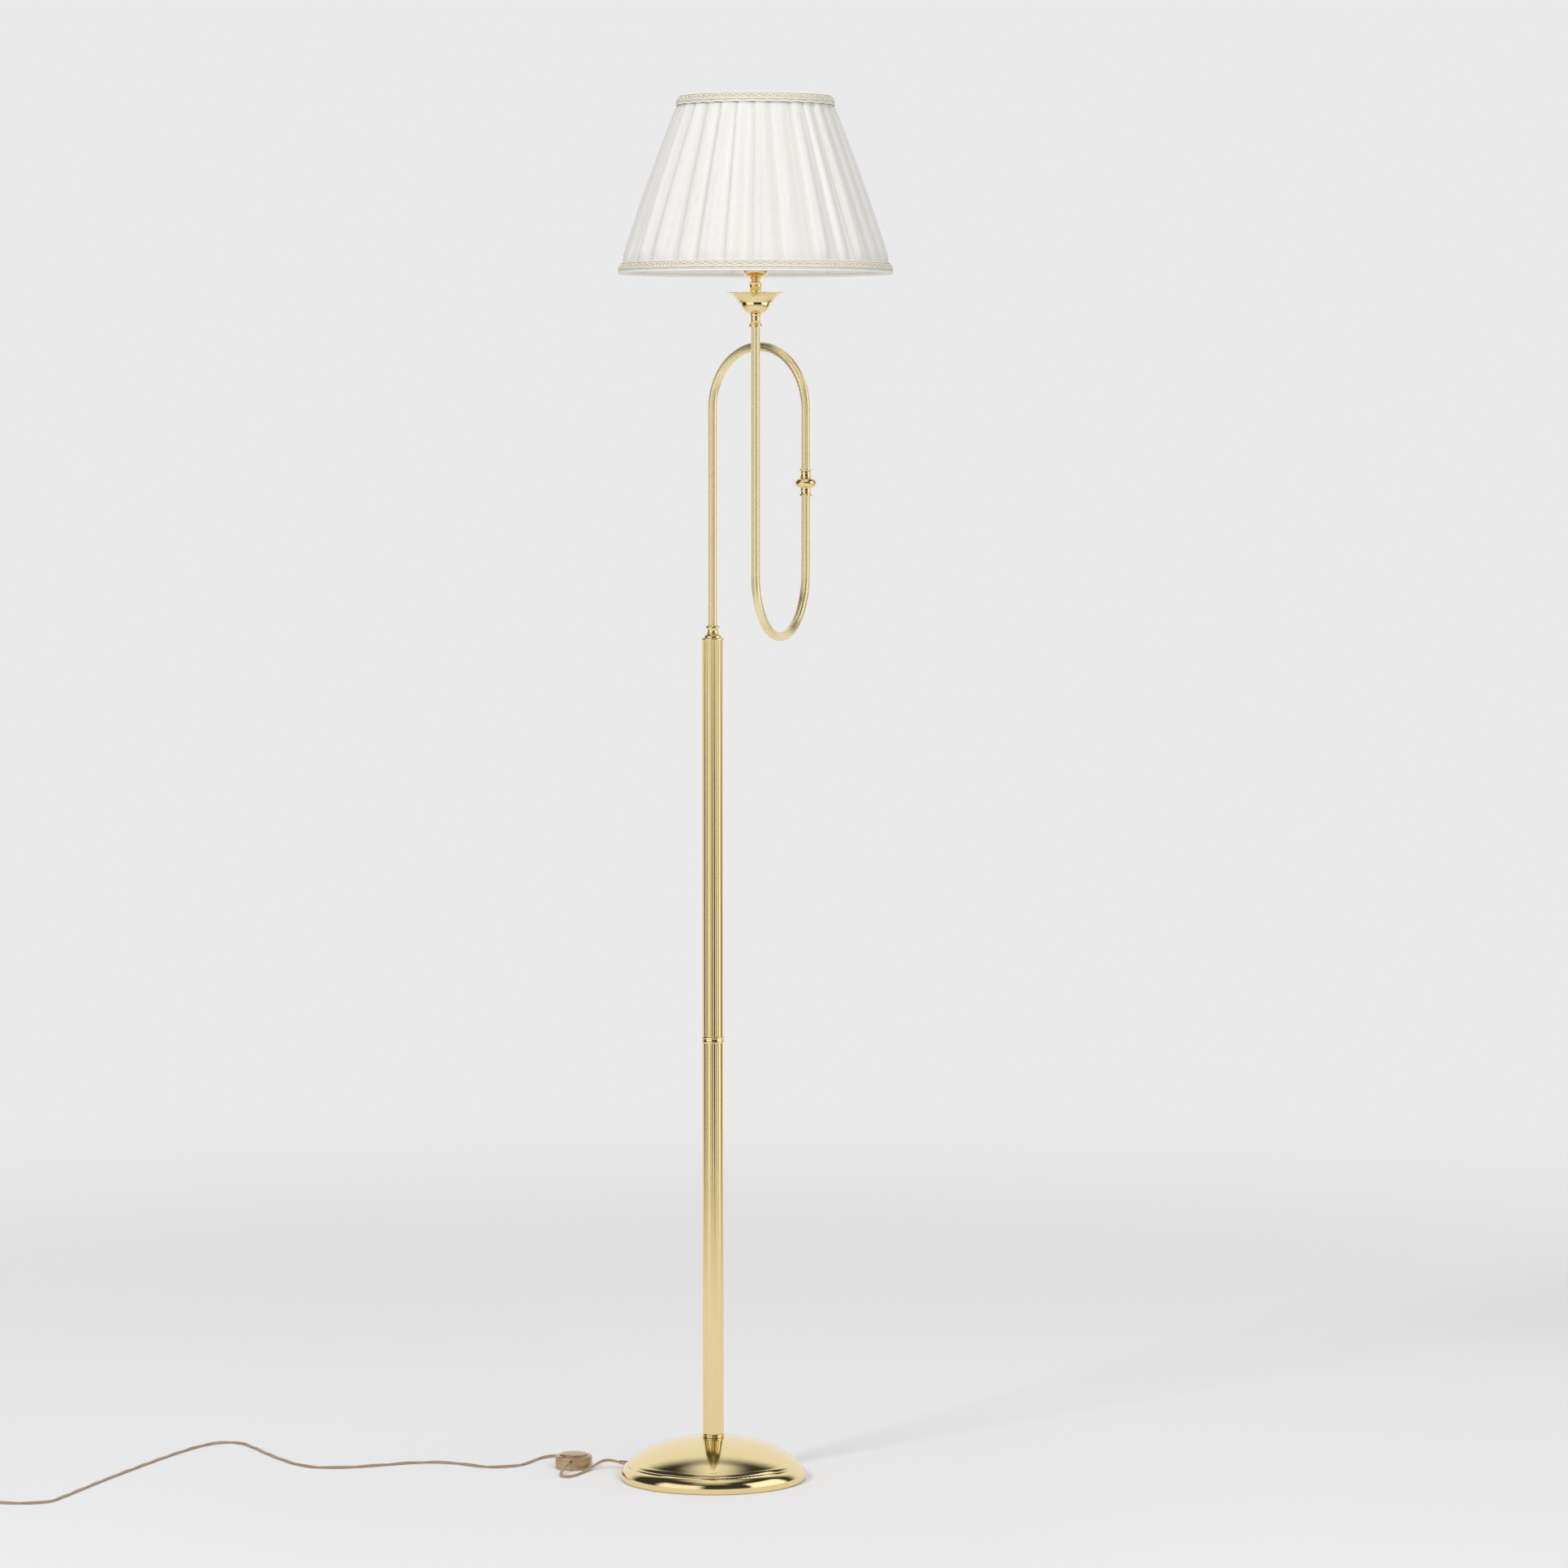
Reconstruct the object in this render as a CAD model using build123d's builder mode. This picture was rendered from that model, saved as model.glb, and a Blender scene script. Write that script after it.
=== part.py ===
"""Swing-arm floor lamp: domed brass base, fluted pole, two U-bent arms, pleated shade, foot switch.

Millimetres, +Z up. The origin is on the floor under the pole's axis. +X is to the lamp's right
and -Y is its front. The foot switch and the mains cord lie on the floor to the left.
"""

import os
from math import acos, cos, degrees, pi, radians, sin, sqrt, tan

from build123d import *

# ---- driving dimensions -------------------------------------------------------------------

# base
dome_rx = 120.6  # half axes of the dome's elliptical section
dome_rz = 54.9
dome_z = 0.8  # height of the ellipse's centre
dome_edge_r = 107.0  # where the dome meets the beaded ring
ring_edge_r = 114.0  # where the beaded ring meets the rolled rim
rim_r = 14.0  # section radius of the rolled rim
rim_centre = (108.4, 6.4)  # radius and height of the rim section's centre
cover_foot_z = 0.6
sheet = 1.5  # thickness of the spun brass
felt_r = 117.0
felt_t = 2.2
weight_z = 2.2
weight_top_z = 36.0
hub_r = 14.0

# pole
pole_r = 13.9
pole_bore_r = 12.3
pole_flutes = 24
pole_flute_r = 1.35
pole_flute_depth = 0.6
pole_foot_z = 60.6
pole_ring_z = 577.9
pole_ring_h = 8.4
pole_top_z = 1106.8
bead_r = 15.1

# arms
arm_r = 5.75
arm_bore_r = 4.5
arm_flutes = 16
arm_flute_r = 0.9
arm_flute_depth = 0.38
arm_clear = 0.05  # radial clearance of a tube in its socket
bend_r = 80.0
arm_azimuth = -40.8  # from the pole towards the swivel joint
head_azimuth = -113.5  # from the swivel joint towards the head, as the lamp stands
arm_foot_z = 1094.0
arm_bend_z = 1409.0
head_bend_z = 1198.0

# swivel joint
joint_z = 1313.8
joint_gap = 0.45
joint_top_z = 1331.1
joint_foot_z = 1296.6
joint_shaft_r = 4.0
running_clear = 0.05

# head
neck_foot_z = 1511.7
bowl_foot_z = 1528.6
dish_foot_z = 1541.9
dish_rim_z = 1554.6
cup_foot_z = 1573.2
rod_r = 4.0
rod_hole_r = 4.05
rod_bore_r = 2.6
fitter_z = 1612.0

# shade
shade_foot_z = 1577.2
shade_top_z = 1800.6
shade_foot_r = 174.6
shade_top_r = 96.0
fabric_t = 1.6
lining_t = 0.8
braid_h = 10.5
braid_t = 1.6
piping_r = 1.8
rib_count = 8

# leads, foot switch and plug
cord_d = 4.0
lead_d = 4.0
switch_xy = (-187.0, 76.0)
switch_r = 24.4
switch_h = 17.4
switch_split_z = 12.8
button_r = 18.1
button_top_z = 21.6
button_travel = 3.0
coil_xy = (-954.0, -152.0)
coil_mid_r = 22.0
coil_turns = 6
pin_pitch = 18.0
pin_l = 19.0

# ---- derived places -----------------------------------------------------------------------

arm_dir = (cos(radians(arm_azimuth)), sin(radians(arm_azimuth)))
head_dir = (cos(radians(head_azimuth)), sin(radians(head_azimuth)))
joint_xy = (2 * bend_r * arm_dir[0], 2 * bend_r * arm_dir[1])
head_xy = (joint_xy[0] + 2 * bend_r * head_dir[0], joint_xy[1] + 2 * bend_r * head_dir[1])


def section_plane(xy=(0, 0)):
    """The vertical plane through an upright axis: local x is the radius, local y is the height."""
    return Plane(origin=(xy[0], xy[1], 0), x_dir=(1, 0, 0), z_dir=(0, -1, 0))


def upright_axis(xy=(0, 0)):
    return Axis((xy[0], xy[1], 0), (0, 0, 1))


def level_plane(xy, z):
    return Plane(origin=(xy[0], xy[1], z))


pole_section = section_plane()
joint_section = section_plane(joint_xy)
head_section = section_plane(head_xy)
switch_section = section_plane(switch_xy)
pieces = {}


def turned(xy, *outline):
    """A piece turned on a lathe about the upright axis at xy, from its outline of radius and height."""
    with BuildPart() as piece:
        with BuildSketch(section_plane(xy)):
            with BuildLine():
                Polyline(*outline, close=True)
            make_face()
        revolve(axis=upright_axis(xy))
    return piece


def sleeve(xy, z, height, outer_r, inner_r):
    """A plain tube or washer standing at height z."""
    with BuildPart() as piece:
        with BuildSketch(level_plane(xy, z)):
            Circle(outer_r)
            if inner_r > 0:
                Circle(inner_r, mode=Mode.SUBTRACT)
        extrude(amount=height)
    return piece


def fluted_face(outer_r, bore_r, flutes, flute_r, flute_depth, first_flute):
    """A tube's section with rounded grooves round it, inside a sketch."""
    Circle(outer_r)
    with PolarLocations(outer_r - flute_depth + flute_r, flutes, start_angle=first_flute):
        Circle(flute_r, mode=Mode.SUBTRACT)
    Circle(bore_r, mode=Mode.SUBTRACT)


# ---- base ---------------------------------------------------------------------------------

def dome_height(r, inset=0.0):
    return dome_z + (dome_rz - inset) * sqrt(1 - (r / (dome_rx - inset)) ** 2)


def dome_angle(r, inset=0.0):
    return degrees(acos(r / (dome_rx - inset)))


def rim_point(z, inset=0.0):
    return (rim_centre[0] + sqrt((rim_r - inset) ** 2 - (z - rim_centre[1]) ** 2), z)


land_r = 15.2
land_z = dome_height(land_r)
rim_top_z = rim_centre[1] + sqrt(rim_r**2 - (ring_edge_r - rim_centre[0]) ** 2)
ring_mid = (111.3, 21.9)
inner_rim_top = (111.5, rim_centre[1] + sqrt((rim_r - sheet) ** 2 - (111.5 - rim_centre[0]) ** 2))
cord_exit_dir = (-0.88, 0.475)
cord_exit_z = 9.0
cord_exit_plane = Plane(origin=(0, 0, cord_exit_z), x_dir=(0, 0, 1), z_dir=(*cord_exit_dir, 0))
gland_r = 4.4

with BuildPart() as base_cover:
    with BuildSketch(pole_section):
        with BuildLine():
            foot = Line(rim_point(cover_foot_z, sheet), rim_point(cover_foot_z))
            rim = ThreePointArc(foot @ 1, rim_point(11.0), (ring_edge_r, rim_top_z))
            low_bead = ThreePointArc(rim @ 1, (113.2, 20.9), ring_mid)
            high_bead = ThreePointArc(low_bead @ 1, (109.7, 24.3), (dome_edge_r, dome_height(dome_edge_r)))
            EllipticalCenterArc(
                (0, dome_z), dome_rx, dome_rz,
                start_angle=dome_angle(dome_edge_r), arc_size=dome_angle(land_r) - dome_angle(dome_edge_r),
            )
            land = Polyline(
                (land_r, land_z), (5.1, land_z), (5.1, land_z - sheet), (land_r, land_z - sheet),
            )
            EllipticalCenterArc(
                (0, dome_z), dome_rx - sheet, dome_rz - sheet,
                start_angle=dome_angle(105.0, sheet),
                arc_size=dome_angle(land_r, sheet) - dome_angle(105.0, sheet),
            )
            Line((land_r, land_z - sheet), (land_r, dome_height(land_r, sheet)))
            Line((105.0, dome_height(105.0, sheet)), inner_rim_top)
            ThreePointArc(inner_rim_top, rim_point(11.0, sheet), foot @ 0)
        make_face()
    revolve(axis=Axis.Z)
    with BuildSketch(cord_exit_plane.offset(112.0)):
        Circle(gland_r - 0.9)
    extrude(amount=20.0, mode=Mode.SUBTRACT)
pieces["base_cover"] = base_cover

with BuildPart() as base_weight:
    with BuildSketch(pole_section):
        with BuildLine():
            Polyline(
                (6.0, 26.0), (24.0, 26.0), (24.0, weight_z), (112.0, weight_z), (112.0, 10.0), (97.0, 26.0),
                (62.0, weight_top_z), (22.0, weight_top_z), (hub_r, 44.0), (hub_r, land_z - sheet),
                (6.0, land_z - sheet), (6.0, 26.0),
            )
        make_face()
    revolve(axis=Axis.Z)
    with BuildSketch(cord_exit_plane.offset(20.0)):
        Rectangle(2 * (cord_exit_z - weight_z) + 4.0, 9.0)
    extrude(amount=96.0, mode=Mode.SUBTRACT)
pieces["base_weight"] = base_weight

pieces["base_felt"] = sleeve((0, 0), 0, felt_t, felt_r, 0)
pieces["base_washer"] = sleeve((0, 0), 24.4, 1.6, 11.0, 5.1)

with BuildPart() as base_nut:
    with BuildSketch(Plane.XY.offset(19.4)):
        RegularPolygon(radius=9.2, side_count=6)
        Circle(5.05, mode=Mode.SUBTRACT)
    extrude(amount=5.0)
pieces["base_nut"] = base_nut
pieces["base_nipple"] = sleeve((0, 0), 18.0, 62.0, 5.0, 3.2)

gland_face_r = 121.4
relief_l = 21.0
relief_tip_r = 2.7

with BuildPart() as cord_relief:
    with BuildSketch(cord_exit_plane.offset(gland_face_r - 3.4)):
        Circle(gland_r - 1.0)
    with BuildSketch(cord_exit_plane.offset(gland_face_r + relief_l)):
        Circle(relief_tip_r)
    loft()
    with BuildSketch(cord_exit_plane.offset(gland_face_r - 5.4)):
        Circle(gland_r + 0.6)
    extrude(amount=2.0)
    with BuildSketch(cord_exit_plane.offset(gland_face_r - 6.4)):
        Circle(cord_d / 2)
    extrude(amount=relief_l - 6.0, mode=Mode.SUBTRACT)
pieces["cord_relief"] = cord_relief

# ---- pole ---------------------------------------------------------------------------------

with BuildPart() as pole_collar:
    with BuildSketch(pole_section):
        with BuildLine():
            Polyline((14.0, land_z), (5.1, land_z), (5.1, pole_foot_z), (14.2, pole_foot_z))
            ThreePointArc((14.2, pole_foot_z), (14.9, pole_foot_z - 1.3), (14.2, pole_foot_z - 2.6))
            ThreePointArc((14.2, pole_foot_z - 2.6), (14.9, pole_foot_z - 4.0), (14.0, land_z))
        make_face()
    revolve(axis=Axis.Z)
pieces["pole_collar"] = pole_collar
pieces["pole_foot_plug"] = sleeve((0, 0), pole_foot_z, 19.4, pole_bore_r - 0.05, 5.1)


def pole_length(z, height):
    """One length of the fluted pole."""
    with BuildPart() as tube:
        with BuildSketch(Plane.XY.offset(z)):
            fluted_face(pole_r, pole_bore_r, pole_flutes, pole_flute_r, pole_flute_depth, 2.0)
        extrude(amount=height)
    return tube


pieces["pole_lower"] = pole_length(pole_foot_z, pole_ring_z - pole_foot_z)
pieces["pole_upper"] = pole_length(pole_ring_z + pole_ring_h, pole_top_z - pole_ring_z - pole_ring_h)
coupler_reach = 35.0  # into each length
pieces["pole_coupler"] = sleeve(
    (0, 0), pole_ring_z - coupler_reach, 2 * coupler_reach + pole_ring_h, pole_bore_r - 0.05, 10.4
)

with BuildPart() as pole_ring:
    with BuildSketch(pole_section):
        with BuildLine():
            Polyline(
                (14.3, pole_ring_z), (pole_bore_r, pole_ring_z),
                (pole_bore_r, pole_ring_z + pole_ring_h), (14.3, pole_ring_z + pole_ring_h),
            )
            ThreePointArc(
                (14.3, pole_ring_z + pole_ring_h), (bead_r, pole_ring_z + pole_ring_h - 1.5),
                (14.35, pole_ring_z + pole_ring_h - 3.0),
            )
            Line((14.35, pole_ring_z + pole_ring_h - 3.0), (14.35, pole_ring_z + 3.0))
            ThreePointArc((14.35, pole_ring_z + 3.0), (bead_r, pole_ring_z + 1.5), (14.3, pole_ring_z))
        make_face()
    revolve(axis=Axis.Z)
pieces["pole_ring"] = pole_ring

socket_r = arm_r + arm_clear
spigot_z = pole_top_z - 14.0

with BuildPart() as top_collar:
    with BuildSketch(pole_section):
        with BuildLine():
            Polyline(
                (14.4, pole_top_z), (pole_bore_r - 0.05, pole_top_z), (pole_bore_r - 0.05, spigot_z),
                (arm_bore_r, spigot_z), (arm_bore_r, arm_foot_z), (socket_r, arm_foot_z),
                (socket_r, 1125.6), (9.0, 1125.6), (9.7, 1124.7), (9.5, 1123.2), (8.3, 1122.6),
                (7.9, 1121.6),
            )
            ThreePointArc((7.9, 1121.6), (7.1, 1118.9), (7.2, 1116.6))
            ThreePointArc((7.2, 1116.6), (8.3, 1115.5), (7.7, 1114.5))
            ThreePointArc((7.7, 1114.5), (10.9, 1113.1), (11.7, 1109.9))
            Line((11.7, 1109.9), (13.2, 1109.8))
            ThreePointArc((13.2, 1109.8), (15.5, 1108.2), (14.4, pole_top_z))
        make_face()
    revolve(axis=Axis.Z)
pieces["top_collar"] = top_collar

# ---- arms ---------------------------------------------------------------------------------


def bent_tube(start_xy, start_leg, bend_z, azimuth, side, end_xy, end_leg):
    """An arm: a leg, half a turn over the top (side 1) or under (side -1), and a second leg."""
    run = (cos(radians(azimuth)), sin(radians(azimuth)))
    bend_centre = (start_xy[0] + bend_r * run[0], start_xy[1] + bend_r * run[1], bend_z)
    section = (arm_r, arm_bore_r, arm_flutes, arm_flute_r, arm_flute_depth, azimuth)
    with BuildPart() as tube:
        with BuildSketch(level_plane(start_xy, start_leg[0])):
            fluted_face(*section)
        extrude(amount=start_leg[1] - start_leg[0])
        with BuildSketch(level_plane(start_xy, bend_z)):
            fluted_face(*section)
        revolve(axis=Axis(bend_centre, (-side * run[1], side * run[0], 0)), revolution_arc=180)
        with BuildSketch(level_plane(end_xy, end_leg[0])):
            fluted_face(*section)
        extrude(amount=end_leg[1] - end_leg[0])
    return tube


pieces["arm_tube"] = bent_tube(
    (0, 0), (arm_foot_z, arm_bend_z), arm_bend_z, arm_azimuth, 1, joint_xy, (joint_z + 9.0, arm_bend_z),
)
pieces["head_tube"] = bent_tube(
    joint_xy, (head_bend_z, joint_z - 12.5), head_bend_z, head_azimuth, -1, head_xy,
    (head_bend_z, neck_foot_z + 9.0),
)

# ---- swivel joint -------------------------------------------------------------------------

with BuildPart() as knuckle_upper:
    with BuildSketch(joint_section):
        with BuildLine():
            Polyline(
                (14.4, joint_z + joint_gap), (joint_shaft_r, joint_z + joint_gap),
                (joint_shaft_r, joint_z + 9.0), (socket_r, joint_z + 9.0), (socket_r, joint_top_z),
                (8.1, joint_top_z), (8.4, joint_top_z - 0.8), (7.6, joint_top_z - 2.2),
                (6.5, joint_top_z - 3.2),
            )
            ThreePointArc((6.5, joint_top_z - 3.2), (6.3, joint_top_z - 6.6), (6.9, joint_top_z - 9.4))
            ThreePointArc((6.9, joint_top_z - 9.4), (7.4, joint_top_z - 10.7), (6.9, joint_top_z - 12.0))
            ThreePointArc(
                (6.9, joint_top_z - 12.0), (12.6, joint_z + 3.4), (14.4, joint_z + joint_gap),
            )
        make_face()
    revolve(axis=upright_axis(joint_xy))
pieces["knuckle_upper"] = knuckle_upper

with BuildPart() as knuckle_lower:
    with BuildSketch(joint_section):
        with BuildLine():
            Polyline(
                (8.1, joint_foot_z), (socket_r, joint_foot_z), (socket_r, joint_z - 6.6),
                (joint_shaft_r + running_clear, joint_z - 6.6),
                (joint_shaft_r + running_clear, joint_z - 0.1), (14.4, joint_z - 0.1),
            )
            ThreePointArc((14.4, joint_z - 0.1), (12.6, joint_z - 4.2), (6.9, joint_z - 7.0))
            ThreePointArc((6.9, joint_z - 7.0), (6.4, joint_z - 10.7), (6.7, joint_foot_z + 3.4))
            Polyline(
                (6.7, joint_foot_z + 3.4), (7.9, joint_foot_z + 2.0),
                (8.4, joint_foot_z + 0.8), (8.1, joint_foot_z),
            )
        make_face()
    revolve(axis=upright_axis(joint_xy))
pieces["knuckle_lower"] = knuckle_lower

pieces["knuckle_washer"] = sleeve(joint_xy, joint_z - 0.05, joint_gap + 0.05, 13.4, joint_shaft_r)
pieces["knuckle_shaft"] = sleeve(joint_xy, joint_z - 11.0, 22.0, joint_shaft_r, rod_bore_r)
pieces["knuckle_nut"] = sleeve(joint_xy, joint_z - 10.4, 3.4, 5.2, joint_shaft_r)

# ---- head ---------------------------------------------------------------------------------

with BuildPart() as head_neck:
    with BuildSketch(head_section):
        with BuildLine():
            Polyline(
                (6.0, bowl_foot_z), (rod_hole_r, bowl_foot_z), (rod_hole_r, neck_foot_z + 9.0),
                (socket_r, neck_foot_z + 9.0), (socket_r, neck_foot_z), (8.7, neck_foot_z),
                (9.0, neck_foot_z + 1.3), (8.6, neck_foot_z + 2.6), (7.5, neck_foot_z + 2.8),
            )
            ThreePointArc((7.5, neck_foot_z + 2.8), (7.8, neck_foot_z + 3.6), (7.3, neck_foot_z + 4.4))
            ThreePointArc((7.3, neck_foot_z + 4.4), (6.3, neck_foot_z + 7.0), (6.1, neck_foot_z + 11.2))
            ThreePointArc((6.1, neck_foot_z + 11.2), (6.4, neck_foot_z + 13.6), (7.1, neck_foot_z + 14.8))
            Polyline((7.1, neck_foot_z + 14.8), (7.2, neck_foot_z + 15.6), (6.0, bowl_foot_z))
        make_face()
    revolve(axis=upright_axis(head_xy))
pieces["head_neck"] = head_neck

with BuildPart() as bowl:
    with BuildSketch(head_section):
        with BuildLine():
            Line((rod_hole_r, bowl_foot_z), (7.0, bowl_foot_z))
            ThreePointArc((7.0, bowl_foot_z), (15.6, 1532.9), (19.5, dish_foot_z))
            Polyline(
                (19.5, dish_foot_z), (18.0, dish_foot_z), (18.0, dish_foot_z - 0.4),
            )
            ThreePointArc((18.0, dish_foot_z - 0.4), (14.4, 1534.0), (7.0, bowl_foot_z + sheet))
            Polyline(
                (7.0, bowl_foot_z + sheet), (rod_hole_r, bowl_foot_z + sheet), (rod_hole_r, bowl_foot_z),
            )
        make_face()
    revolve(axis=upright_axis(head_xy))
pieces["bowl"] = bowl

with BuildPart() as drip_dish:
    with BuildSketch(head_section):
        with BuildLine():
            Line((rod_hole_r, dish_foot_z), (22.4, dish_foot_z))
            ThreePointArc((22.4, dish_foot_z), (25.9, 1547.6), (37.0, dish_rim_z - 0.9))
            ThreePointArc((37.0, dish_rim_z - 0.9), (37.5, dish_rim_z - 0.4), (37.0, dish_rim_z))
            ThreePointArc((37.0, dish_rim_z), (24.8, 1548.4), (21.0, dish_foot_z + sheet))
            Polyline(
                (21.0, dish_foot_z + sheet), (rod_hole_r, dish_foot_z + sheet), (rod_hole_r, dish_foot_z),
            )
        make_face()
    revolve(axis=upright_axis(head_xy))
pieces["drip_dish"] = drip_dish

with BuildPart() as spindle:
    with BuildSketch(head_section):
        with BuildLine():
            Polyline(
                (6.4, cup_foot_z), (rod_hole_r, cup_foot_z), (rod_hole_r, dish_foot_z + sheet),
                (9.5, dish_foot_z + sheet), (9.5, 1546.0), (7.0, 1548.0), (6.9, 1557.0), (8.0, 1563.9),
                (8.1, 1564.4),
            )
            ThreePointArc((8.1, 1564.4), (7.2, 1567.3), (5.4, 1569.2))
            ThreePointArc((5.4, 1569.2), (5.2, 1570.0), (5.5, 1570.8))
            ThreePointArc((5.5, 1570.8), (6.9, 1572.0), (6.4, cup_foot_z))
        make_face()
    revolve(axis=upright_axis(head_xy))
pieces["spindle"] = spindle

with BuildPart() as holder_cup:
    with BuildSketch(head_section):
        with BuildLine():
            Polyline((rod_hole_r, cup_foot_z), (6.2, cup_foot_z), (13.6, 1575.6))
            ThreePointArc((13.6, 1575.6), (17.0, 1580.8), (18.5, 1587.0))
            Polyline((18.5, 1587.0), (18.5, 1602.0), (17.5, 1602.0), (17.5, 1587.0))
            ThreePointArc((17.5, 1587.0), (16.0, 1581.4), (12.9, 1576.6))
            Polyline(
                (12.9, 1576.6), (6.2, cup_foot_z + 1.2),
                (rod_hole_r, cup_foot_z + 1.2), (rod_hole_r, cup_foot_z),
            )
        make_face()
    revolve(axis=upright_axis(head_xy))
pieces["holder_cup"] = holder_cup
pieces["head_rod"] = sleeve(head_xy, neck_foot_z - 4.0, 72.0, rod_r, rod_bore_r)

with BuildPart() as rod_nut:
    with BuildSketch(level_plane(head_xy, cup_foot_z + 1.2)):
        RegularPolygon(radius=6.1, side_count=6)
        Circle(rod_hole_r, mode=Mode.SUBTRACT)
    extrude(amount=3.4)
pieces["rod_nut"] = rod_nut

holder_foot_z = 1582.0
holder_mouth_z = 1634.0
pieces["lamp_holder"] = turned(
    head_xy,
    (4.4, holder_foot_z), (15.4, holder_foot_z), (17.2, 1588.0), (17.2, 1603.0), (19.8, 1603.0),
    (19.8, holder_mouth_z), (14.6, holder_mouth_z), (14.6, 1592.0), (4.4, 1592.0),
)
pieces["screw_shell"] = sleeve(head_xy, 1594.0, 34.0, 14.3, 13.6)
pieces["centre_contact"] = sleeve(head_xy, 1592.0, 2.6, 4.0, 2.4)

with BuildPart() as fitter_rings:
    for ring_z in (fitter_z - 5.0, fitter_z + 1.6):
        with BuildSketch(level_plane(head_xy, ring_z)):
            Circle(25.0)
            Circle(19.9, mode=Mode.SUBTRACT)
        extrude(amount=5.0)
pieces["fitter_rings"] = fitter_rings

cap_z = 1596.0
pieces["bulb_cap"] = turned(
    head_xy,
    (0, cap_z), (4.5, cap_z), (5.5, cap_z + 3.0), (12.6, cap_z + 6.0), (13.2, cap_z + 8.0),
    (13.2, cap_z + 26.0), (0, cap_z + 26.0),
)

globe_r = 30.0
globe_z = cap_z + 80.0
globe_neck_z = globe_z - sqrt(globe_r**2 - 24.5**2)

with BuildPart() as bulb_glass:
    with BuildSketch(head_section):
        with BuildLine():
            Polyline((0, globe_z + globe_r), (0, cap_z + 26.0), (13.2, cap_z + 26.0))
            Line((13.2, cap_z + 26.0), (13.2, cap_z + 42.0))
            ThreePointArc((13.2, cap_z + 42.0), (16.6, globe_z - 27.0), (24.5, globe_neck_z))
            ThreePointArc((24.5, globe_neck_z), (globe_r, globe_z), (0, globe_z + globe_r))
        make_face()
    revolve(axis=upright_axis(head_xy))
pieces["bulb_glass"] = bulb_glass

# ---- shade --------------------------------------------------------------------------------

slope = (shade_top_r - shade_foot_r) / (shade_top_z - shade_foot_z)


def shade_r(z, inset=0.0):
    """Outer radius of the shade's cone at height z."""
    return shade_foot_r + slope * (z - shade_foot_z) - inset


def cone_shell(low_z, high_z, outer_inset, thickness):
    """A ring of cloth between two heights, lying on the shade's cone."""
    return turned(
        head_xy,
        (shade_r(low_z, outer_inset), low_z), (shade_r(high_z, outer_inset), high_z),
        (shade_r(high_z, outer_inset + thickness), high_z),
        (shade_r(low_z, outer_inset + thickness), low_z),
    )


lining_inset = braid_t + fabric_t + 0.2
wire_r = 1.5
rim_wire_inset = lining_inset + lining_t + wire_r + 1.2
braid_foot_z = shade_foot_z + 2 * piping_r
pieces["shade_fabric"] = cone_shell(braid_foot_z, shade_top_z - 1.0, braid_t + 0.1, fabric_t)
pieces["shade_lining"] = cone_shell(shade_foot_z + 1.0, shade_top_z - 1.0, lining_inset, lining_t)
pieces["bottom_braid"] = cone_shell(braid_foot_z, braid_foot_z + braid_h, 0, braid_t)
pieces["top_braid"] = cone_shell(shade_top_z - braid_h, shade_top_z, 0, braid_t)

with BuildPart() as bottom_piping:
    with BuildSketch(head_section):
        with Locations((shade_r(shade_foot_z + piping_r, piping_r - 0.3), shade_foot_z + piping_r)):
            Circle(piping_r - 0.3)
    revolve(axis=upright_axis(head_xy))
pieces["bottom_piping"] = bottom_piping

foot_wire = (shade_r(shade_foot_z + 3.5, rim_wire_inset), shade_foot_z + 3.5)
top_wire = (shade_r(shade_top_z - 3.5, rim_wire_inset), shade_top_z - 3.5)
spoke_start = (26.6, fitter_z + 0.8)
rib_l = sqrt((foot_wire[0] - top_wire[0]) ** 2 + (top_wire[1] - foot_wire[1]) ** 2)
spoke_run = foot_wire[0] - spoke_start[0]
spoke_rise = foot_wire[1] - spoke_start[1]


def radial_plane(turn, start, run, rise):
    """The plane across a straight wire that starts at a radius and height and runs outwards and up."""
    out = (cos(radians(turn)), sin(radians(turn)))
    origin = (head_xy[0] + start[0] * out[0], head_xy[1] + start[0] * out[1], start[1])
    return Plane(origin=origin, x_dir=(-out[1], out[0], 0), z_dir=(run * out[0], run * out[1], rise))


with BuildPart() as shade_frame:
    for wire in (foot_wire, top_wire):
        with BuildSketch(head_section):
            with Locations(wire):
                Rectangle(2 * wire_r, 2 * wire_r)
        revolve(axis=upright_axis(head_xy))
    for number in range(rib_count):
        turn = 360.0 / rib_count * (number + 0.25)
        lean = (top_wire[0] - foot_wire[0], top_wire[1] - foot_wire[1])
        with BuildSketch(radial_plane(turn, foot_wire, *lean)):
            Rectangle(2.0, 2.0)
        extrude(amount=rib_l)
    with BuildSketch(level_plane(head_xy, fitter_z)):
        Circle(28.4)
        Circle(20.4, mode=Mode.SUBTRACT)
    extrude(amount=1.6)
    for number in range(3):
        with BuildSketch(radial_plane(120.0 * number + 30.0, spoke_start, spoke_run, spoke_rise)):
            Rectangle(2.4, 2.4)
        extrude(amount=sqrt(spoke_run**2 + spoke_rise**2))
pieces["shade_frame"] = shade_frame

# ---- leads inside the lamp ----------------------------------------------------------------


def lead(start, outline, bends):
    """A round lead along straight runs and tangent arcs."""
    with BuildPart() as piece:
        with BuildLine() as route:
            FilletPolyline(*outline, radius=bends)
        with BuildSketch(Plane(origin=outline[0], z_dir=start)):
            Circle(lead_d / 2)
        sweep(path=route.line)
    return piece


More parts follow.
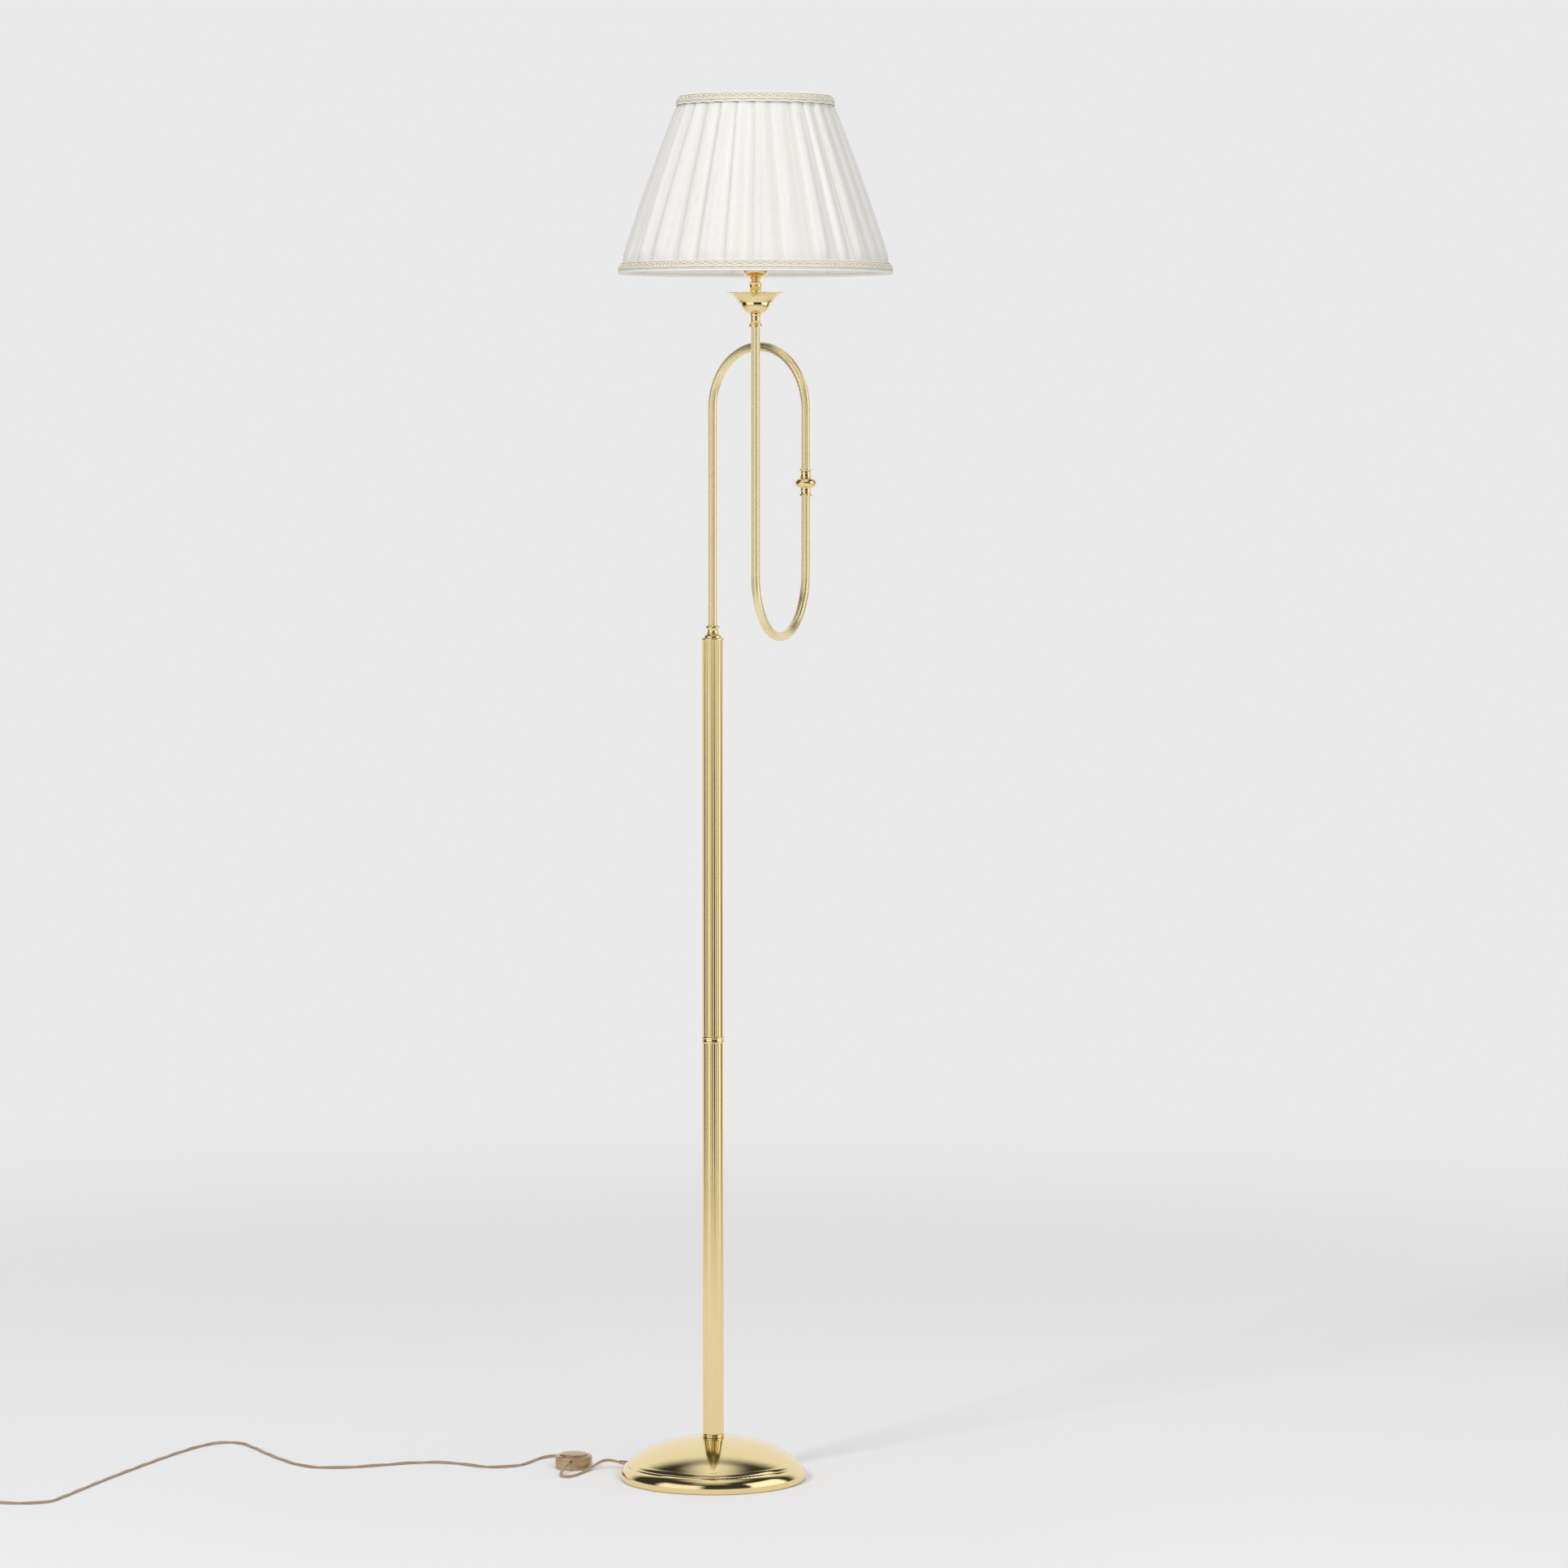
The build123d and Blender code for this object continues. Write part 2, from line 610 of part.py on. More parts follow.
arch_z = arm_bend_z + bend_r
under_z = head_bend_z - bend_r
lead_in_r = gland_face_r - 6.4
pieces["pole_lead"] = lead(
    (-cord_exit_dir[0], -cord_exit_dir[1], 0),
    (
        (lead_in_r * cord_exit_dir[0], lead_in_r * cord_exit_dir[1], cord_exit_z),
        (0, 0, cord_exit_z), (0, 0, arch_z), (*joint_xy, arch_z), (*joint_xy, joint_z + 0.5),
    ),
    [8.0, bend_r, bend_r],
)
pieces["head_lead"] = lead(
    (0, 0, -1),
    ((*joint_xy, joint_z - 0.5), (*joint_xy, under_z), (*head_xy, under_z), (*head_xy, 1590.0)),
    [bend_r, bend_r],
)

# ---- foot switch --------------------------------------------------------------------------

cable_z = 12.0
front_hole = (-190.6, 51.8)
back_hole = (-190.0, 100.2)

with BuildPart() as switch_base:
    with BuildSketch(switch_section):
        with BuildLine():
            Polyline((0, 0), (switch_r - 1.4, 0))
            ThreePointArc((switch_r - 1.4, 0), (switch_r - 0.4, 0.4), (switch_r, 1.4))
            Polyline(
                (switch_r, 1.4), (switch_r, switch_split_z - 0.3), (switch_r - 1.8, switch_split_z - 0.3),
                (switch_r - 1.8, 2.2), (0, 2.2), (0, 0),
            )
        make_face()
    revolve(axis=upright_axis(switch_xy))
    for hole in (front_hole, back_hole):
        with Locations((hole[0], hole[1], cable_z)):
            Cylinder(2.05, 8.0, rotation=(90, 0, 0), mode=Mode.SUBTRACT)
pieces["switch_base"] = switch_base

with BuildPart() as switch_cover:
    with BuildSketch(switch_section):
        with BuildLine():
            Polyline(
                (switch_r - 1.8, switch_split_z), (switch_r, switch_split_z), (switch_r, switch_h - 2.0),
            )
            ThreePointArc(
                (switch_r, switch_h - 2.0), (switch_r - 0.6, switch_h - 0.6), (switch_r - 2.0, switch_h),
            )
            Polyline(
                (switch_r - 2.0, switch_h), (button_r + 0.5, switch_h), (button_r + 0.5, switch_h - 1.8),
                (switch_r - 1.8, switch_h - 1.8), (switch_r - 1.8, switch_split_z),
            )
        make_face()
    revolve(axis=upright_axis(switch_xy))
    for hole in (front_hole, back_hole):
        with Locations((hole[0], hole[1], cable_z)):
            Cylinder(2.05, 8.0, rotation=(90, 0, 0), mode=Mode.SUBTRACT)
pieces["switch_cover"] = switch_cover

pieces["switch_gasket"] = sleeve(switch_xy, switch_split_z - 0.3, 0.3, switch_r - 0.5, switch_r - 1.8)

button_edge_r = button_r - 1.4
button_edge_z = 19.8
button_rise = button_top_z - button_edge_z
dome_curve_r = (button_edge_r**2 + button_rise**2) / (2 * button_rise)
dome_mid_z = button_top_z - dome_curve_r + sqrt(dome_curve_r**2 - 9.0**2)

with BuildPart() as switch_button:
    with BuildSketch(switch_section):
        with BuildLine():
            Polyline(
                (0, button_top_z), (0, 9.6), (3.0, 9.6), (3.0, 14.0), (20.4, 14.0), (20.4, 15.3),
                (button_r, 15.3), (button_r, 18.6),
            )
            ThreePointArc((button_r, 18.6), (button_r - 0.4, 19.3), (button_edge_r, button_edge_z))
            ThreePointArc((button_edge_r, button_edge_z), (9.0, dome_mid_z), (0, button_top_z))
        make_face()
    revolve(axis=upright_axis(switch_xy))
pieces["switch_button"] = switch_button

pieces["switch_spring"] = turned(switch_xy, (2.2, 6.2), (9.0, 3.0), (9.0, 2.4), (2.2, 5.6))

with BuildPart() as switch_block:
    with BuildSketch(level_plane(switch_xy, 2.2)):
        Circle(11.5)
        Circle(9.4, mode=Mode.SUBTRACT)
        with GridLocations(0, 26.0, 1, 2):
            Rectangle(16.0, 5.6)
    extrude(amount=5.4)
pieces["switch_block"] = switch_block

with BuildPart() as switch_terminals:
    with BuildSketch(level_plane(switch_xy, 7.6)):
        with GridLocations(9.0, 26.0, 2, 2):
            Circle(1.6)
    extrude(amount=1.4)
pieces["switch_terminals"] = switch_terminals

# ---- cords on the floor -------------------------------------------------------------------

floor_z = cord_d / 2
relief_end = (
    (gland_face_r + relief_l) * cord_exit_dir[0], (gland_face_r + relief_l) * cord_exit_dir[1], cord_exit_z,
)

route_to_switch = [
    relief_end, (-132.2, 71.3, cord_exit_z), (-141.8, 74.2, 8.2), (-151.3, 71.5, 6.2), (-159.0, 64.6, 4.2),
    (-164.2, 54.4, 2.6), (-171.5, 37.8, floor_z), (-178.6, 21.5, floor_z), (-185.0, 9.5, floor_z),
    (-191.5, 2.2, floor_z), (-199.0, 4.6, floor_z), (-202.0, 15.5, 2.4), (-200.4, 28.0, 4.8),
    (-196.0, 40.5, 9.4), (front_hole[0], front_hole[1], cable_z),
]

route_to_coil = [
    (back_hole[0], back_hole[1], cable_z), (-191.6, 113.0, 11.4), (-195.0, 126.0, 8.8),
    (-200.5, 138.0, 6.0), (-208.5, 147.2, 3.8), (-220.0, 150.0, 2.6), (-231.0, 143.0, floor_z),
    (-239.0, 130.0, floor_z), (-248.0, 103.0, floor_z), (-259.5, 86.0, floor_z),
    (-275.0, 75.0, floor_z), (-297.0, 70.5, floor_z), (-318.5, 80.0, floor_z), (-337.0, 95.5, floor_z),
    (-359.0, 105.6, floor_z), (-386.0, 107.6, floor_z), (-415.5, 99.5, floor_z),
    (-449.0, 84.0, floor_z), (-481.0, 71.5, floor_z), (-511.0, 66.5, floor_z),
    (-539.5, 72.5, floor_z), (-562.0, 96.5, floor_z), (-583.5, 131.5, floor_z),
    (-606.3, 174.8, floor_z), (-627.5, 220.0, floor_z), (-644.5, 249.5, floor_z),
    (-667.0, 260.5, floor_z), (-689.5, 245.5, floor_z), (-708.5, 214.5, floor_z),
    (-728.0, 172.8, floor_z), (-748.2, 122.7, floor_z), (-768.6, 69.4, floor_z),
    (-788.6, 14.8, floor_z), (-807.3, -38.8, floor_z), (-825.5, -93.6, floor_z),
    (-840.5, -141.2, floor_z), (-853.0, -173.5, floor_z), (-869.5, -183.0, floor_z),
    (-895.0, -184.5, floor_z), (-919.0, -179.0, floor_z),
    (coil_xy[0] + 14.0, coil_xy[1] - coil_mid_r - 1.6, floor_z),
    (coil_xy[0], coil_xy[1] - coil_mid_r, floor_z),
]

plug_x = coil_xy[0] - 20.0
plug_z = 7.0
plug_relief_y = coil_xy[1] + 54.0
route_to_plug = [
    (coil_xy[0] - coil_mid_r, coil_xy[1], 9.2), (coil_xy[0] - coil_mid_r - 0.6, coil_xy[1] + 14.0, 9.0),
    (plug_x - 1.4, coil_xy[1] + 28.0, 8.0), (plug_x, coil_xy[1] + 41.0, plug_z),
    (plug_x, plug_relief_y, plug_z),
]


def corner_radii(points):
    """Each corner's arc: 0.45 of its shorter run over the tangent of half the turn."""
    radii = []
    for before, corner, after in zip(points, points[1:], points[2:]):
        run_in = Vector(*corner) - Vector(*before)
        run_out = Vector(*after) - Vector(*corner)
        turn = radians(run_in.get_angle(run_out))
        radii.append(0.45 * min(run_in.length, run_out.length) / tan(turn / 2))
    return radii


def cord_tube(name, points):
    radii = corner_radii(points)
    with BuildPart() as tube:
        with BuildLine() as route:
            FilletPolyline(*points, radius=radii)
        with BuildSketch(Plane(origin=points[0], z_dir=Vector(*points[1]) - Vector(*points[0]))):
            Circle(cord_d / 2)
        sweep(path=route.line)
    length = sum(edge.length for edge in route.edges())
    share = tube.part.volume / (pi * cord_d**2 / 4 * length)
    print(name, "length", round(length, 1), "volume share", round(share, 4))
    print("  radii", [round(radius, 1) for radius in radii])
    return tube, length


pieces["cord_to_switch"], first_l = cord_tube("cord_to_switch", route_to_switch)
pieces["cord_to_coil"], second_l = cord_tube("cord_to_coil", route_to_coil)
pieces["cord_to_plug"], tail_l = cord_tube("cord_to_plug", route_to_plug)
pieces["cord_coil"] = turned(
    coil_xy,
    (15.7, 0), (28.3, 0), (28.6, 4.0), (24.8, 11.2), (19.2, 11.2), (15.4, 4.0),
)
coil_l = coil_turns * 2 * pi * coil_mid_r
print("coil length", round(coil_l, 1))
print("base to switch", round(first_l, 1), "switch to plug", round(second_l + coil_l + tail_l, 1))

# ---- plug ---------------------------------------------------------------------------------

plug_relief_l = 22.0
plug_l = 33.0
plug_back_y = plug_relief_y + plug_relief_l
plug_face_y = plug_back_y + plug_l


def across_cord(y, x=plug_x):
    return Plane(origin=(x, y, plug_z), x_dir=(1, 0, 0), z_dir=(0, 1, 0))


with BuildPart() as plug_relief:
    with BuildSketch(across_cord(plug_relief_y)):
        Circle(2.5)
    with BuildSketch(across_cord(plug_back_y)):
        Circle(4.2)
    loft()
pieces["plug_relief"] = plug_relief

with BuildPart() as plug_body:
    with BuildSketch(Plane(origin=(plug_x, plug_back_y, 0.2))):
        with BuildLine():
            Polyline(
                (-7.0, 0), (7.0, 0), (11.0, 10.0), (17.5, 22.0), (17.5, plug_l), (-17.5, plug_l),
                (-17.5, 22.0), (-11.0, 10.0), (-7.0, 0),
            )
        make_face()
    extrude(amount=2 * (plug_z - 0.2))
    fillet(plug_body.edges().filter_by(Axis.Z), 2.5)
    fillet(plug_body.edges().group_by(Axis.Z)[-1], 2.0)
    fillet(plug_body.edges().group_by(Axis.Z)[0], 2.0)
pieces["plug_body"] = plug_body

with BuildPart() as plug_pins:
    for side in (-1, 1):
        with BuildSketch(across_cord(plug_face_y, plug_x + side * pin_pitch / 2)):
            Circle(2.0)
        extrude(amount=pin_l)
pieces["plug_pins"] = plug_pins

# ---- write --------------------------------------------------------------------------------

os.makedirs("parts", exist_ok=True)
for name, piece in pieces.items():
    piece.part.label = name
    export_step(piece.part, f"parts/{name}.step")
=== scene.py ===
"""Swing-arm floor lamp: brass finishes, pleated shade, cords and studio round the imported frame.

Metres, +Z up. The origin is on the floor under the pole's axis, and -Y is the lamp's front.
"""

import random
from math import atan2, cos, exp, pi, radians, sin, tau

import bmesh
import bpy
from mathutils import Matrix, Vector


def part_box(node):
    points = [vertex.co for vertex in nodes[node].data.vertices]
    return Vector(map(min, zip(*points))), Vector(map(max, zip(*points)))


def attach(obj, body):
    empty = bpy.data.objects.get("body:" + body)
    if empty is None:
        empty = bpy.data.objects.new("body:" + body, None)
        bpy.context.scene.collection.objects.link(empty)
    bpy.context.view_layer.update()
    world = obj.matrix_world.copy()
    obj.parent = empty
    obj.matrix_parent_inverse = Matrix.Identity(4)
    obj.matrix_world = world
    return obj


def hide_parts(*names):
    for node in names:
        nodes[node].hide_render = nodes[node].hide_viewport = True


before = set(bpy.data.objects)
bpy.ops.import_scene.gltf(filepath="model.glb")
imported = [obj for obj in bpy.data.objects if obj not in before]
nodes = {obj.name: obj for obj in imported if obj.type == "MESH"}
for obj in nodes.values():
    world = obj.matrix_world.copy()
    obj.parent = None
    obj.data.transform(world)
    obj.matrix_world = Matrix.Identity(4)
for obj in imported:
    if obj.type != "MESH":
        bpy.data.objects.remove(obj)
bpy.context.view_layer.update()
scene = bpy.context.scene
mm = 0.001  # metres

# ---- camera -------------------------------------------------------------------------------

camera_place = (0.0932, -7.5354, 1.3982)
camera_pitch = 3.6443  # degrees below level
camera_lens = 132.34  # millimetres, like the sensor
camera_sensor = 36.0
camera_reach = 60.0


def add_camera():
    """The view from the lamp's front, a little above its middle."""
    data = bpy.data.cameras.new("camera")
    data.lens = camera_lens
    data.sensor_width = camera_sensor
    data.clip_end = camera_reach
    camera = bpy.data.objects.new("camera", data)
    camera.location = camera_place
    camera.rotation_euler = (radians(90.0 - camera_pitch), 0, 0)
    scene.collection.objects.link(camera)
    scene.camera = camera


# ---- building blocks ----------------------------------------------------------------------


def add_mesh(name, vertices, faces):
    """A smooth-shaded mesh object in the lamp's frame."""
    data = bpy.data.meshes.new(name)
    data.from_pydata(vertices, [], faces)
    data.polygons.foreach_set("use_smooth", [True] * len(data.polygons))
    data.update()
    piece = bpy.data.objects.new(name, data)
    scene.collection.objects.link(piece)
    return piece


def face_outwards(piece):
    """Turns a closed mesh's faces outwards."""
    work = bmesh.new()
    work.from_mesh(piece.data)
    bmesh.ops.recalc_face_normals(work, faces=work.faces)
    work.to_mesh(piece.data)
    work.free()


def baked(piece, name):
    """A plain mesh of the piece with its modifiers applied; the piece itself is removed."""
    bpy.context.view_layer.update()
    solid = piece.evaluated_get(bpy.context.evaluated_depsgraph_get())
    data = bpy.data.meshes.new_from_object(solid)
    data.name = name
    bpy.data.objects.remove(piece)
    result = bpy.data.objects.new(name, data)
    scene.collection.objects.link(result)
    return result


def thicken(piece, thickness):
    """Gives a sheet its thickness, half to each side."""
    name = piece.name
    solidify = piece.modifiers.new("thickness", "SOLIDIFY")
    solidify.thickness = thickness
    solidify.offset = 0.0
    return baked(piece, name)


def finish_with(piece, material, body):
    """Gives a finished piece its material and its body."""
    piece.data.materials.clear()
    piece.data.materials.append(material)
    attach(piece, body)


# ---- finishes -----------------------------------------------------------------------------


class Finish:
    """A material in the making: its node tree, its Principled shader and a few shorthands."""

    def __init__(self, name, colour, roughness, **plain):
        self.material = bpy.data.materials.new(name)
        self.material.use_nodes = True
        self.tree = self.material.node_tree
        self.shader = self.tree.nodes["Principled BSDF"]
        self.shader.inputs["Base Color"].default_value = (*colour, 1)
        self.shader.inputs["Roughness"].default_value = roughness
        for socket, value in plain.items():
            self.shader.inputs[socket.replace("_", " ")].default_value = value

    def add(self, kind, **settings):
        node = self.tree.nodes.new(kind)
        for key, value in settings.items():
            setattr(node, key, value)
        return node

    def group(self, tree, **values):
        node = self.add("ShaderNodeGroup", node_tree=tree)
        for key, value in values.items():
            node.inputs[key.replace("_", " ")].default_value = value
        return node

    def link(self, source, target):
        self.tree.links.new(source, target)

    def coordinates(self, centre=(0, 0, 0)):
        """Object coordinates measured from a centre."""
        place = self.add("ShaderNodeTexCoord")
        mapping = self.add("ShaderNodeMapping")
        mapping.inputs["Location"].default_value = tuple(-c for c in centre)
        self.link(place.outputs["Object"], mapping.inputs["Vector"])
        return mapping.outputs["Vector"]

    def bump(self, height, strength, distance):
        node = self.add("ShaderNodeBump")
        node.inputs["Strength"].default_value = strength
        node.inputs["Distance"].default_value = distance
        self.link(height, node.inputs["Height"])
        self.link(node.outputs["Normal"], self.shader.inputs["Normal"])


def add_socket(tree, name, kind, value=None):
    """A named input of a group; gives the identifier that a modifier sets it by."""
    item = tree.interface.new_socket(name, in_out="INPUT", socket_type=kind)
    if value is not None:
        item.default_value = value
    return item.identifier


def group_tree(name, inputs, outputs):
    """An empty shader group with named sockets."""
    tree = bpy.data.node_groups.new(name, "ShaderNodeTree")
    for socket, kind, value in inputs:
        add_socket(tree, socket, kind, value)
    for socket, kind in outputs:
        tree.interface.new_socket(socket, in_out="OUTPUT", socket_type=kind)
    return tree, tree.nodes.new("NodeGroupInput"), tree.nodes.new("NodeGroupOutput")


def add_math(tree, operation, first, second=None):
    """A math node; each operand is a socket or a number."""
    node = tree.nodes.new("ShaderNodeMath")
    node.operation = operation
    for place, value in enumerate((first, second)):
        if isinstance(value, (int, float)):
            node.inputs[place].default_value = value
        elif value is not None:
            tree.links.new(value, node.inputs[place])
    return node.outputs[0]


def add_noise(tree, detail, scale=1.0):
    """A noise texture with its detail and scale set."""
    noise = tree.nodes.new("ShaderNodeTexNoise")
    noise.inputs["Detail"].default_value = detail
    noise.inputs["Scale"].default_value = scale
    return noise


def stretched(tree, vector, factors):
    """A vector with each axis multiplied by its own factor."""
    node = tree.nodes.new("ShaderNodeVectorMath")
    node.operation = "MULTIPLY"
    node.inputs[1].default_value = factors
    tree.links.new(vector, node.inputs[0])
    return node.outputs["Vector"]


def smooth_ramp(tree, value, low, high):
    """Rises smoothly from 0 to 1 as the value goes from low to high."""
    ramp = tree.nodes.new("ShaderNodeMapRange")
    ramp.interpolation_type = "SMOOTHSTEP"
    ramp.inputs["From Min"].default_value = low
    ramp.inputs["From Max"].default_value = high
    tree.links.new(value, ramp.inputs["Value"])
    return ramp.outputs["Result"]


cloud_share = 0.5  # how far the clouds reach towards the deep colour
smear_roughness = 0.05  # what a smear adds to the roughness
slub_stretch = (1.0, 0.04, 1.0)  # slubs run along the upright threads


def make_lacquer_wear():
    """Cloudy tone and gloss of handled, lacquered metal: a colour, a roughness and a fine height."""
    tree, given, result = group_tree(
        "lacquer_wear",
        [
            ("Place", "NodeSocketVector", None), ("Colour", "NodeSocketColor", (0.9, 0.8, 0.5, 1)),
            ("Deep Colour", "NodeSocketColor", (0.8, 0.65, 0.3, 1)), ("Roughness", "NodeSocketFloat", 0.1),
            ("Cloud Size", "NodeSocketFloat", 6.0),
        ],
        [("Colour", "NodeSocketColor"), ("Roughness", "NodeSocketFloat"), ("Height", "NodeSocketFloat")],
    )
    cloud = add_noise(tree, detail=3.0)
    tree.links.new(given.outputs["Place"], cloud.inputs["Vector"])
    tree.links.new(given.outputs["Cloud Size"], cloud.inputs["Scale"])
    mix = tree.nodes.new("ShaderNodeMix")
    mix.data_type = "RGBA"
    spread = add_math(tree, "MULTIPLY", cloud.outputs["Fac"], cloud_share)
    tree.links.new(spread, mix.inputs["Factor"])
    tree.links.new(given.outputs["Colour"], mix.inputs["A"])
    tree.links.new(given.outputs["Deep Colour"], mix.inputs["B"])
    tree.links.new(mix.outputs["Result"], result.inputs["Colour"])
    smear = add_noise(tree, detail=2.0, scale=90.0)
    tree.links.new(given.outputs["Place"], smear.inputs["Vector"])
    gloss = add_math(tree, "MULTIPLY", smear.outputs["Fac"], smear_roughness)
    tree.links.new(add_math(tree, "ADD", given.outputs["Roughness"], gloss), result.inputs["Roughness"])
    tree.links.new(smear.outputs["Fac"], result.inputs["Height"])
    return tree


def make_turning_marks():
    """Fine rings round an upright axis, as a lathe or a polishing mop leaves them: a height."""
    tree, given, result = group_tree(
        "turning_marks",
        [("Place", "NodeSocketVector", None), ("Fineness", "NodeSocketFloat", 2500.0)],
        [("Height", "NodeSocketFloat")],
    )
    flat = stretched(tree, given.outputs["Place"], (1, 1, 0))
    radius = tree.nodes.new("ShaderNodeVectorMath")
    radius.operation = "LENGTH"
    tree.links.new(flat, radius.inputs[0])
    apart = tree.nodes.new("ShaderNodeSeparateXYZ")
    tree.links.new(given.outputs["Place"], apart.inputs[0])
    along = add_math(tree, "ADD", radius.outputs["Value"], apart.outputs["Z"])
    rings = add_noise(tree, detail=2.0)
    rings.noise_dimensions = "1D"
    tree.links.new(given.outputs["Fineness"], rings.inputs["Scale"])
    tree.links.new(along, rings.inputs["W"])
    tree.links.new(rings.outputs["Fac"], result.inputs["Height"])
    return tree


def make_plain_weave():
    """Warp and weft of a plain cloth with slubs, from places in thread counts: a height and a tone."""
    tree, given, result = group_tree(
        "plain_weave",
        [("Threads", "NodeSocketVector", None), ("Slub", "NodeSocketFloat", 0.3)],
        [("Height", "NodeSocketFloat"), ("Tone", "NodeSocketFloat")],
    )
    apart = tree.nodes.new("ShaderNodeSeparateXYZ")
    tree.links.new(given.outputs["Threads"], apart.inputs[0])
    across = add_math(tree, "SINE", add_math(tree, "MULTIPLY", apart.outputs["X"], pi))
    upward = add_math(tree, "SINE", add_math(tree, "MULTIPLY", apart.outputs["Y"], pi))
    warp = add_math(tree, "ABSOLUTE", across)
    weft = add_math(tree, "ABSOLUTE", upward)
    slub = add_noise(tree, detail=2.0)
    tree.links.new(stretched(tree, given.outputs["Threads"], slub_stretch), slub.inputs["Vector"])
    uneven = add_math(tree, "MULTIPLY", slub.outputs["Fac"], given.outputs["Slub"])
    woven = add_math(tree, "MAXIMUM", warp, weft)
    tree.links.new(add_math(tree, "ADD", woven, uneven), result.inputs["Height"])
    tree.links.new(slub.outputs["Fac"], result.inputs["Tone"])
    return tree


lacquer_wear = make_lacquer_wear()
turning_marks = make_turning_marks()
plain_weave = make_plain_weave()


def add_wear(finish, place, colour, deep, roughness, cloud):
    """Lets wear set a finish's colour and roughness; gives the wear's fine height."""
    wear = finish.group(
        lacquer_wear, Colour=(*colour, 1), Deep_Colour=(*deep, 1), Roughness=roughness, Cloud_Size=cloud,
    )
    finish.link(place, wear.inputs["Place"])
    finish.link(wear.outputs["Colour"], finish.shader.inputs["Base Color"])
    finish.link(wear.outputs["Roughness"], finish.shader.inputs["Roughness"])
    return wear.outputs["Height"]


def add_marks(finish, place, fineness, strength, depth):
    """Gives a finish the fine rings that turning or brushing leaves."""
    rings = finish.group(turning_marks, Fineness=fineness)
    finish.link(place, rings.inputs["Place"])
    finish.bump(rings.outputs["Height"], strength, depth)


def brass(name, colour, deep, roughness, marks):
    """Polished, lacquered brass with turning marks about the pole's axis."""
    finish = Finish(name, colour, roughness, Metallic=1.0)
    place = finish.coordinates()
    add_wear(finish, place, colour, deep, roughness, cloud=6.0)
    add_marks(finish, place, fineness=2600.0, strength=marks, depth=0.02 * mm)
    return finish.material


def worn(name, colour, deep, roughness, bump=0.1, cloud=8.0, **plain):
    """A plain finish with cloudy tone and a fine uneven surface."""
    finish = Finish(name, colour, roughness, **plain)
    height = add_wear(finish, finish.coordinates(), colour, deep, roughness, cloud)
    finish.bump(height, bump, 0.1 * mm)
    return finish.material


def brushed(name, colour, deep, roughness, centre):
    """Metallic coating with a circular brushed grain about its own centre."""
    finish = Finish(name, colour, roughness, Metallic=0.85)
    place = finish.coordinates(centre)
    add_wear(finish, place, colour, deep, roughness, cloud=40.0)
    add_marks(finish, place, fineness=6000.0, strength=0.35, depth=0.03 * mm)
    return finish.material


cloth_roughness = 0.85
thread_depth = 0.15 * mm
streak_rise = 0.7  # a streak is longer up the cloth than it is wide
# how far the streaks, partly doubled cloth and partly painted shade, reach towards the deep colour
streak_shade_depth = 2.2
fold_shade_starts, fold_shade_ends = 0.30, 0.50  # share of a pleat from its middle where painted shade starts, and where it is full as the cloth turns in
# how dark the painted shade in the pleats' folds gets
fold_shade_depth = 0.75


def cloth(name, colour, deep, threads, streaks, folds, slub, strength, **plain):
    """Woven cloth on its own UV map.

    Threads is the count round and up; streaks is the count of darker streaks round, partly doubled cloth
    and partly painted shade; folds is the count of sewn-in pleats, with painted shade where the cloth turns
    in.
    """
    finish = Finish(name, colour, cloth_roughness, **plain)
    place = finish.add("ShaderNodeUVMap", uv_map="cloth")
    mapping = finish.add("ShaderNodeMapping")
    mapping.inputs["Scale"].default_value = (*threads, 1)
    finish.link(place.outputs["UV"], mapping.inputs["Vector"])
    weave = finish.group(plain_weave, Slub=slub)
    finish.link(mapping.outputs["Vector"], weave.inputs["Threads"])
    # darker streaks up the cloth: partly doubled cloth, partly painted shade
    wide = finish.add("ShaderNodeMapping")
    wide.inputs["Scale"].default_value = (streaks, streak_rise, 1)
    finish.link(place.outputs["UV"], wide.inputs["Vector"])
    doubled_and_shade = add_noise(finish.tree, detail=1.0)
    finish.link(wide.outputs["Vector"], doubled_and_shade.inputs["Vector"])
    shade = add_math(finish.tree, "MULTIPLY", weave.outputs["Tone"], doubled_and_shade.outputs["Fac"])
    mix = finish.add("ShaderNodeMix", data_type="RGBA")
    mix.inputs["A"].default_value = (*colour, 1)
    mix.inputs["B"].default_value = (*deep, 1)
    depth = add_math(finish.tree, "MULTIPLY", shade, streak_shade_depth)
    # painted shade in the pleats' folds, darker where the cloth turns in
    if folds:
        apart = finish.add("ShaderNodeSeparateXYZ")
        finish.link(place.outputs["UV"], apart.inputs[0])
        round_place = add_math(finish.tree, "MULTIPLY", apart.outputs["X"], folds)
        share = add_math(finish.tree, "FRACT", round_place)
        off = add_math(finish.tree, "ABSOLUTE", add_math(finish.tree, "SUBTRACT", share, 0.5))
        fold_shade = smooth_ramp(finish.tree, off, fold_shade_starts, fold_shade_ends)
        painted_fold_shade = add_math(finish.tree, "MULTIPLY", fold_shade, fold_shade_depth)
        depth = add_math(finish.tree, "ADD", depth, painted_fold_shade)
    finish.link(depth, mix.inputs["Factor"])
    finish.link(mix.outputs["Result"], finish.shader.inputs["Base Color"])
    finish.bump(weave.outputs["Height"], strength, thread_depth)
    return finish.material


def middle(node):
    """The middle of a CAD node's box."""
    low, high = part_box(node)
    return (low + high) / 2


head = middle("shade_fabric")
switch = middle("switch_base")
pleats = 30  # sewn round the shade

brass_tone = (0.93, 0.77, 0.43)
brass_deep = (0.86, 0.66, 0.31)
arm_tone = (0.98, 0.86, 0.54)
bronze_tone = (0.60, 0.43, 0.28)

